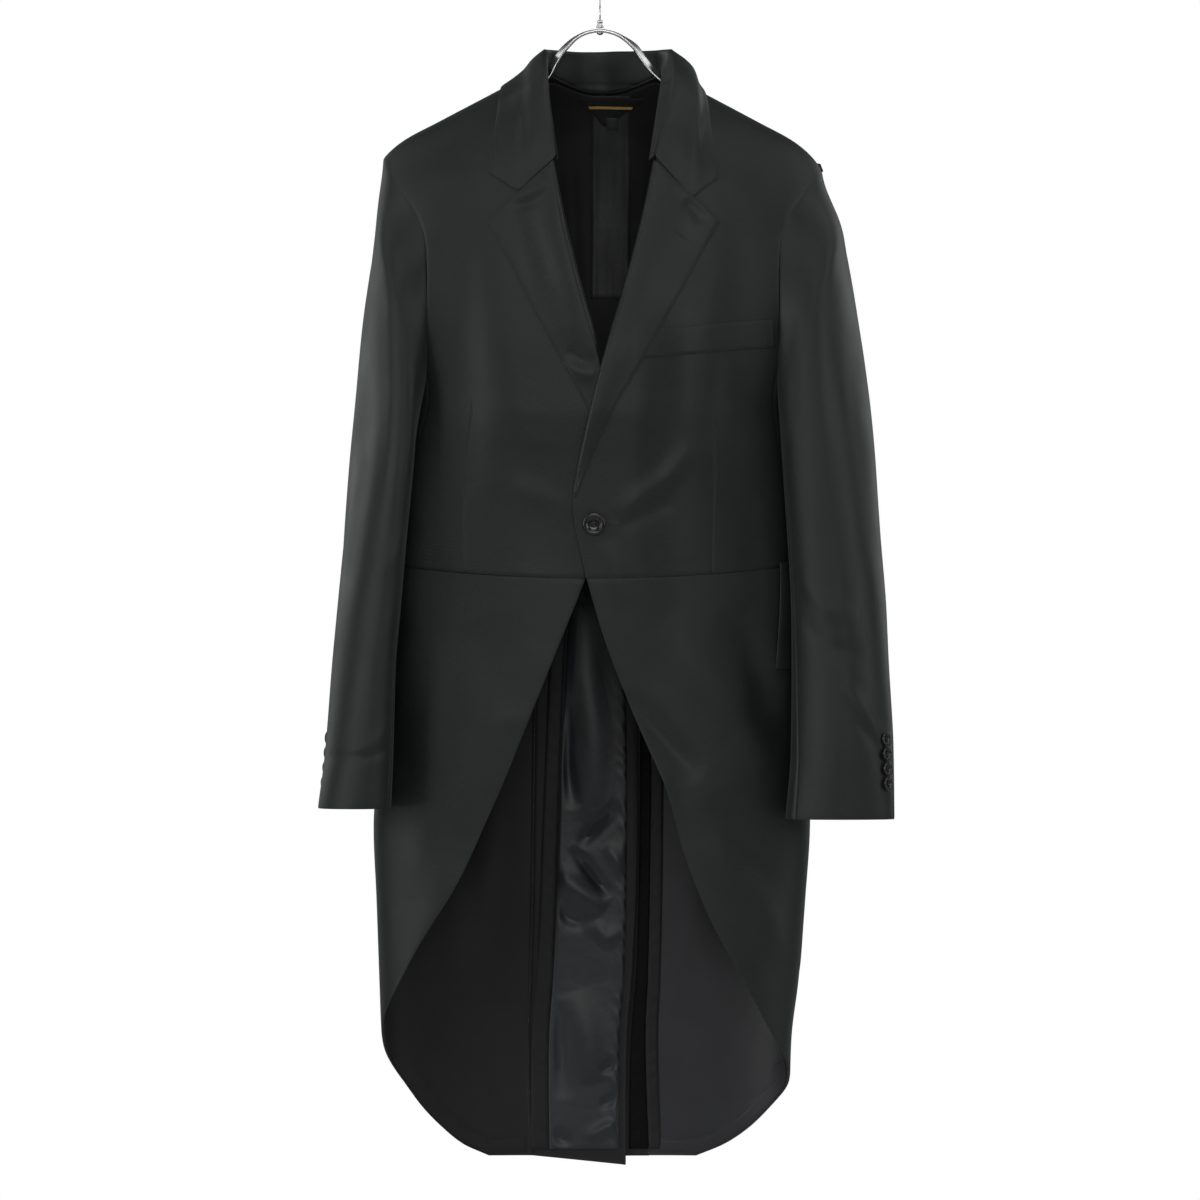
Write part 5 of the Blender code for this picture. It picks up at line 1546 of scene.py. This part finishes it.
def tail_lining(side):
    word = SIDES[side]
    # the wearer's right tail lining is satin; the left one is the darker taffeta, whose
    # darkness is painted shade
    satin_and_painted_shade = lining_satin if side == RIGHT else lining_painted_shade
    for name, table, finish in (
        (f"tail_lining_{word}", TAIL_LINING[side], satin_and_painted_shade),
        (f"gathered_strip_{word}", GATHERED[side], lining_dull),
    ):
        def surface(u, v, table=table):
            drop = LINING_TOP_DROP + (TAIL_FOOT - LINING_TOP_DROP) * v
            first, last = np.moveaxis(follow(table, drop), -1, 0)
            girth = girth_at(first + (last - first) * u, drop, BODY_BACK)
            lift = vent_lift(side, girth, drop) - SHELL - INNER_GAP - LINING
            return lifted(side, girth, drop, lift)

        def relief(at, name=name):
            if name == "tail_lining_right":
                inner = share_of(at.a, *SATIN_SEAM) * share_of(at.z, *SATIN_SEAM)
                by_vent = puckers(at, at.a, *VENT_GATHERS)
                return folds(at.x, at.drop, SATIN_FOLDS) * inner + by_vent + SATIN_RAISED
            return puckers(at, at.a / 2, *STRIP_GATHERS) + STRIP_RAISED

        lay_cloth(name, surface, TO_FRONT, finish=finish, sewn="az",
                  relief=relief, step=TAIL_STEP, thick=LINING)


for side in (LEFT, RIGHT):
    tail_lining(side)

# %% Hem facings, turned up along the curve of the hem
HEM_BAND, HEM_BAND_TOP, HEM_INSET = 14.0, 1012.0, 1.5
HEM_LEVEL_END = 60.0             # the band ends short of the tail strip's seam
HEM_STITCH_IN, HEM_STITCH_WIDE = 2.5, 0.8    # the stitches along its inner edge
HEM_DIP, HEM_RIPPLE, HEM_RIPPLE_RUN = 0.5, 0.25, 5.5
CURVE_DROPS = np.linspace(HEM_BAND_TOP, TAIL_DROPS[-1] - HEM_INSET, 40)


def hem_facing(side):
    curve = out_at(skirt_edge(side, CURVE_DROPS), CURVE_DROPS)
    path = np.column_stack([curve, CURVE_DROPS])
    path = np.vstack([path, [HEM_LEVEL_END, CURVE_DROPS[-1]]])
    run = np.concatenate([[0], np.cumsum(np.linalg.norm(np.diff(path, axis=0), axis=1))])
    rows = np.column_stack([run / run[-1], path])

    def surface(u, v):
        out, drop = np.moveaxis(follow(rows, v), -1, 0)
        next_out, next_drop = np.moveaxis(follow(rows, np.minimum(v + 0.02, 1)), -1, 0)
        last_out, last_drop = np.moveaxis(follow(rows, np.maximum(v - 0.02, 0)), -1, 0)
        way, way_down = next_out - last_out, next_drop - last_drop
        length = np.hypot(way, way_down)
        inset = HEM_INSET + HEM_BAND * u
        out, drop = out - way_down / length * inset, drop + way / length * inset
        return lifted(side, girth_at(out, drop, BODY_BACK), drop, -SHELL - INNER_GAP - LINING)

    def relief(at):
        stitched = bell(at.z - HEM_STITCH_IN, HEM_STITCH_WIDE)
        return -HEM_DIP * stitched + HEM_RIPPLE * np.sin(at.t / HEM_RIPPLE_RUN) * stitched

    word = SIDES[side]
    # the wearer's left hem facing takes the lighter taffeta: painted light
    lay_cloth(f"hem_facing_{word}", surface, TO_FRONT, relief=relief,
              finish=lining_painted_light if side == LEFT else lining_dull, step=SMALL_STEP,
              thick=LINING)


for side in (LEFT, RIGHT):
    hem_facing(side)

# %% [markdown]
# ## Buttons
#
# A coat button is turned from resin on a lathe: a raised rim, a dished middle and four
# holes for the thread. Its half section is spun round, and the holes are drilled through.

# %% Button meshes
BUTTON_PROFILE = (
    (0.0, 0.56), (0.30, 0.53), (0.52, 0.56), (0.60, 0.66), (0.66, 0.88), (0.74, 0.98),
    (0.82, 1.0), (0.90, 0.96), (0.97, 0.84), (1.0, 0.66), (0.99, 0.48), (0.93, 0.32),
    (0.80, 0.14), (0.60, 0.02), (0.0, 0.0),
)
HOLE_OUT, HOLE_SIZE = 0.22, 0.085
BAR_LONG, BAR_WIDE, BAR_THICK = 2.2, 0.9, 0.5      # the first in reaches, the rest in mm
BAR_LEVEL, BAR_ROUND = 0.6, 0.18


def spun(name, profile, steps):
    """A round piece, spun about +Z from half of its section: radius, height."""
    bm = bmesh.new()
    points = [bm.verts.new((radius * MM, 0, height * MM)) for radius, height in profile]
    edges = [bm.edges.new(pair) for pair in zip(points, points[1:])]
    bmesh.ops.spin(bm, geom=points + edges, cent=(0, 0, 0), axis=(0, 0, 1), dvec=(0, 0, 0),
                   angle=2 * math.pi, steps=steps, use_merge=True, use_duplicate=False)
    bmesh.ops.remove_doubles(bm, verts=bm.verts, dist=0.02 * MM)
    bmesh.ops.recalc_face_normals(bm, faces=bm.faces)
    mesh = bpy.data.meshes.new(name)
    bm.to_mesh(mesh)
    bm.free()
    mesh.shade_smooth()
    return mesh


def drilled(mesh, size, high):
    """Drills a button's four thread holes."""
    bm = bmesh.new()
    for k in range(4):
        turn = math.radians(45 + 90 * k)
        way = Vector((math.cos(turn), math.sin(turn), 0)) * size / 2 * HOLE_OUT * MM
        hole = size / 2 * HOLE_SIZE * MM
        made = bmesh.ops.create_cone(bm, cap_ends=True, segments=12, radius1=hole,
                                     radius2=hole, depth=high * 3 * MM)
        bmesh.ops.translate(bm, verts=made["verts"], vec=way)
    drill_mesh = bpy.data.meshes.new("drill")
    bm.to_mesh(drill_mesh)
    bm.free()
    drill = bpy.data.objects.new("drill", drill_mesh)
    blank = bpy.data.objects.new("blank", mesh)
    for each in (drill, blank):
        scene.collection.objects.link(each)
    cut = blank.modifiers.new("holes", "BOOLEAN")
    cut.operation, cut.solver, cut.object = "DIFFERENCE", "EXACT", drill
    ready = blank.evaluated_get(bpy.context.evaluated_depsgraph_get())
    made = bpy.data.meshes.new_from_object(ready)
    for each in (drill, blank):
        bpy.data.objects.remove(each)
    made.materials.clear()
    made.materials.append(button_black)
    return made


def thread_bars(size, high):
    """Two short bars of thread across the holes, each a rounded box of a few faces."""
    bm = bmesh.new()
    reach = size / 2 * HOLE_OUT * math.sqrt(0.5)
    for up in (-1, 1):
        made = bmesh.ops.create_cube(bm, size=1.0)
        bmesh.ops.scale(bm, verts=made["verts"],
                        vec=(BAR_LONG * reach * MM, BAR_WIDE * MM, BAR_THICK * MM))
        bmesh.ops.translate(bm, verts=made["verts"],
                            vec=(0, up * reach * MM, BAR_LEVEL * high * MM))
    bmesh.ops.bevel(bm, geom=bm.edges, offset=BAR_ROUND * MM, segments=2, affect="EDGES",
                    profile=0.5, material=-1)
    mesh = bpy.data.meshes.new("thread_bars")
    bm.to_mesh(mesh)
    bm.free()
    mesh.shade_smooth()
    mesh.materials.append(thread_black)
    return mesh


def sew_on(node_name, button, bars, place, normal, seat):
    """Puts a copy of a button and its thread on the cloth, in place of a packed one."""
    turn = Vector(normal).to_track_quat("Z", "Y").to_matrix().to_4x4()
    put = Matrix.Translation(Vector(place + normal * seat) * MM) @ turn
    shown = button.copy()
    shown.transform(put)
    show(f"{node_name}_turned", shown, (node_name,))
    thread = bars.copy()
    thread.transform(put)
    show(f"{node_name}_thread", thread)


# %% Front button and cuff buttons
FRONT_BUTTON, FRONT_BUTTON_HIGH = 20.8, 4.4
CUFF_BUTTON, CUFF_BUTTON_HIGH = 13.0, 3.2
FRONT_BUTTON_AT = (-1.1, 512.3)
CUFF_TURN = {LEFT: 62.0, RIGHT: 138.0}
CUFF_FIRST, CUFF_PITCH, CUFF_COUNT = 711.0, 13.6, 4
FRONT_SEAT, CUFF_SEAT = 0.8, 0.5     # how far the buttons' backs stand off the cloth
BUTTON_STEPS = 48


def button_blank(name, size, high):
    profile = [(share * size / 2, level * high) for share, level in BUTTON_PROFILE]
    return drilled(spun(name, profile, BUTTON_STEPS), size, high)


front_blank = button_blank("front_button", FRONT_BUTTON, FRONT_BUTTON_HIGH)
cuff_blank = button_blank("cuff_button", CUFF_BUTTON, CUFF_BUTTON_HIGH)
out, drop = FRONT_BUTTON_AT
girth = girth_at(out, drop)
lift = lap_lift(LEFT, girth, np.array(drop))
place = lifted(LEFT, girth, drop, lift)
sew_on("front_button", front_blank, thread_bars(FRONT_BUTTON, FRONT_BUTTON_HIGH), place,
       lifted(LEFT, girth, drop, lift + 1.0) - place, FRONT_SEAT)
cuff_bars = thread_bars(CUFF_BUTTON, CUFF_BUTTON_HIGH)
for side in (LEFT, RIGHT):
    for k in range(CUFF_COUNT):
        drop = CUFF_FIRST + CUFF_PITCH * k
        turn = CUFF_TURN[side]
        place = sleeve_section(side, turn, drop)
        round_it = sleeve_section(side, turn + 1, drop) - place
        down_it = sleeve_section(side, turn, drop + 1) - place
        normal = side * np.cross(down_it, round_it)
        normal /= np.linalg.norm(normal)
        sew_on(f"cuff_button_{SIDES[side]}_{k + 1}", cuff_blank, cuff_bars, place, normal,
               CUFF_SEAT)
print("front button", FRONT_BUTTON, "mm, cuff buttons", CUFF_BUTTON, "mm")

# %% [markdown]
# ## Hanger
#
# The hanger is a thin steel strip, bent to an arch over the neck and out under the
# shoulders, with a wire hook in a small socket. Chromium plating makes it a mirror, so
# its rounded edges carry the two bright lines along it.

# %% Hook
HOOK_WIRE, HOOK_RADIUS = 1.6, 12.0
# behind, drop: the shank below the hook
SHANK = ((4.2, 24.4), (1.4, 29.2), (0.2, 34), (0, 38), (0, 44.2))
HOOK_START, HOOK_END = 205.0, -45.0
WIRE_SIDES, HOOK_STEPS = 14, 44


def hook():
    """A wire's round end spun through the hook, then drawn down the shank."""
    bm = bmesh.new()
    ring = bmesh.ops.create_circle(bm, cap_ends=True, segments=WIRE_SIDES,
                                   radius=HOOK_WIRE / 2 * MM)
    start = math.radians(HOOK_START)
    top = HOOK_WIRE / 2
    centre = Vector((0, 0, -(HOOK_RADIUS - top) * MM))
    arm = Vector((0, math.cos(start), math.sin(start))) * HOOK_RADIUS * MM
    face = Vector((0, math.sin(start), -math.cos(start)))
    place = Matrix.Translation(centre + arm) @ face.to_track_quat("Z", "X").to_matrix().to_4x4()
    bmesh.ops.transform(bm, matrix=place, verts=ring["verts"])
    swept = bmesh.ops.spin(bm, geom=bm.faces[:], cent=centre, axis=(-1, 0, 0),
                           dvec=(0, 0, 0), steps=HOOK_STEPS, use_merge=False,
                           use_duplicate=False,
                           angle=math.radians(HOOK_START - HOOK_END))
    end = [item for item in swept["geom_last"] if isinstance(item, bmesh.types.BMFace)]
    turn = math.radians(HOOK_END)
    here = (HOOK_RADIUS * math.cos(turn), HOOK_RADIUS * (1 - math.sin(turn)) - top)
    heading = Vector((0, math.sin(turn), -math.cos(turn)))
    for nxt in SHANK:
        way = Vector((0, nxt[0] - here[0], -(nxt[1] - here[1])))
        made = bmesh.ops.extrude_face_region(bm, geom=end)
        verts = [item for item in made["geom"] if isinstance(item, bmesh.types.BMVert)]
        bmesh.ops.delete(bm, geom=end, context="FACES")
        end = [item for item in made["geom"] if isinstance(item, bmesh.types.BMFace)]
        bmesh.ops.translate(bm, verts=verts, vec=way * MM)
        pivot = Vector((0, nxt[0], -nxt[1])) * MM
        swing = heading.rotation_difference(way.normalized()).to_matrix()
        bmesh.ops.rotate(bm, verts=verts, cent=pivot, matrix=swing)
        heading, here = way.normalized(), nxt
    bmesh.ops.recalc_face_normals(bm, faces=bm.faces)
    mesh = bpy.data.meshes.new("hanger_hook")
    bm.to_mesh(mesh)
    bm.free()
    mesh.shade_smooth()
    mesh.materials.append(chrome)
    return mesh


show("hanger_hook_wire", hook(), ("hanger_hook",))

# %% Arms, socket and rivet
STRIP_DEEP, STRIP_THICK, STRIP_ROUND = 8.5, 3.0, 1.1
STRIP_POINTS = (261, 4)
SHARP_EDGE = 40.0                # degrees: edges sharper than this are rounded
ARM_BELOW = 6.9
ARCH = (
    (-52.5, 95.5), (-45, 82.5), (-37.5, 71.5), (-23.7, 60), (-11, 54.6), (0, 53),
    (11, 54.8), (22, 59.4), (34, 67), (42.3, 78), (51.5, 89.2), (62, 98.5),
)
ARMS = ((-160, -148, -132, -112, -90, -68), (72, 92, 114, 134, 150, 162))
# across, degrees: the strip is twisted a little where it comes down from the arch
TWIST = ((0, 5), (18, 9), (34, 32), (46, 42), (58, 40), (74, 0), (170, 0))


def hanger_strip():
    arms = [[(x, float(ridge(x)) + ARM_BELOW) for x in arm] for arm in ARMS]
    path = (*arms[0], *ARCH, *arms[1])
    rows = [(k, x, drop) for k, (x, drop) in enumerate(path)]
    last = len(rows) - 1

    def surface(u, v):
        x, drop = np.moveaxis(follow(rows, u * last), -1, 0)
        way = follow(rows, u * last + 0.02) - follow(rows, u * last - 0.02)
        way, way_down = np.moveaxis(way / np.linalg.norm(way, axis=-1, keepdims=True), -1, 0)
        twist = np.radians(follow(TWIST, np.abs(x))[..., 0])
        across = (0.5 - v) * STRIP_DEEP
        raised = (across - STRIP_DEEP / 2) * np.sin(twist)
        return np.stack([x + raised * way_down, across * np.cos(twist),
                         -drop + raised * way], axis=-1)

    points = sampled(surface, *(np.linspace(0, 1, count) for count in STRIP_POINTS))
    normal, forward = grid_normals(points, (0, 0, 1))
    points = points + normal * STRIP_THICK / 2
    made = show("hanger_arms_strip", grid_mesh("hanger_arms", points, forward),
                ("hanger_arms",))
    made.data.materials.append(chrome)
    solid = made.modifiers.new("strip", "SOLIDIFY")
    solid.thickness, solid.offset = STRIP_THICK * MM, -1.0
    rounded = made.modifiers.new("rounded", "BEVEL")
    rounded.width, rounded.segments = STRIP_ROUND * MM, 3
    rounded.limit_method, rounded.angle_limit = "ANGLE", math.radians(SHARP_EDGE)


hanger_strip()
SOCKET_PROFILE = (
    (0.0, -43.6), (2.0, -43.6), (2.6, -44.2), (2.6, -46.2), (2.2, -46.6), (2.2, -47.4),
    (2.6, -47.8), (2.6, -49.2), (3.6, -49.6), (3.6, -50.6), (3.2, -51.0), (0.0, -51.0),
)
RIVET_PROFILE = (
    (0.0, -54.9), (3.0, -54.9), (3.2, -55.3), (3.0, -56.2), (2.2, -57.1), (1.1, -57.6),
    (0.0, -57.8),
)
for node_name, profile in (("hanger_socket", SOCKET_PROFILE), ("hanger_rivet", RIVET_PROFILE)):
    mesh = spun(node_name, profile, 32)
    mesh.materials.append(chrome)
    show(f"{node_name}_turned", mesh, (node_name,))

# %% [markdown]
# ## Finish
#
# The visual model's box is printed beside the imported model's, axis by axis. The visual
# model must fill the imported model's box and no more.

# %% Sizes
shown_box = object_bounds()
for axis in range(3):
    ends = [box[k][axis] / MM for box in (cad_box, shown_box) for k in (0, 1)]
    print("xyz"[axis], *(f"{end:.1f}" for end in ends))
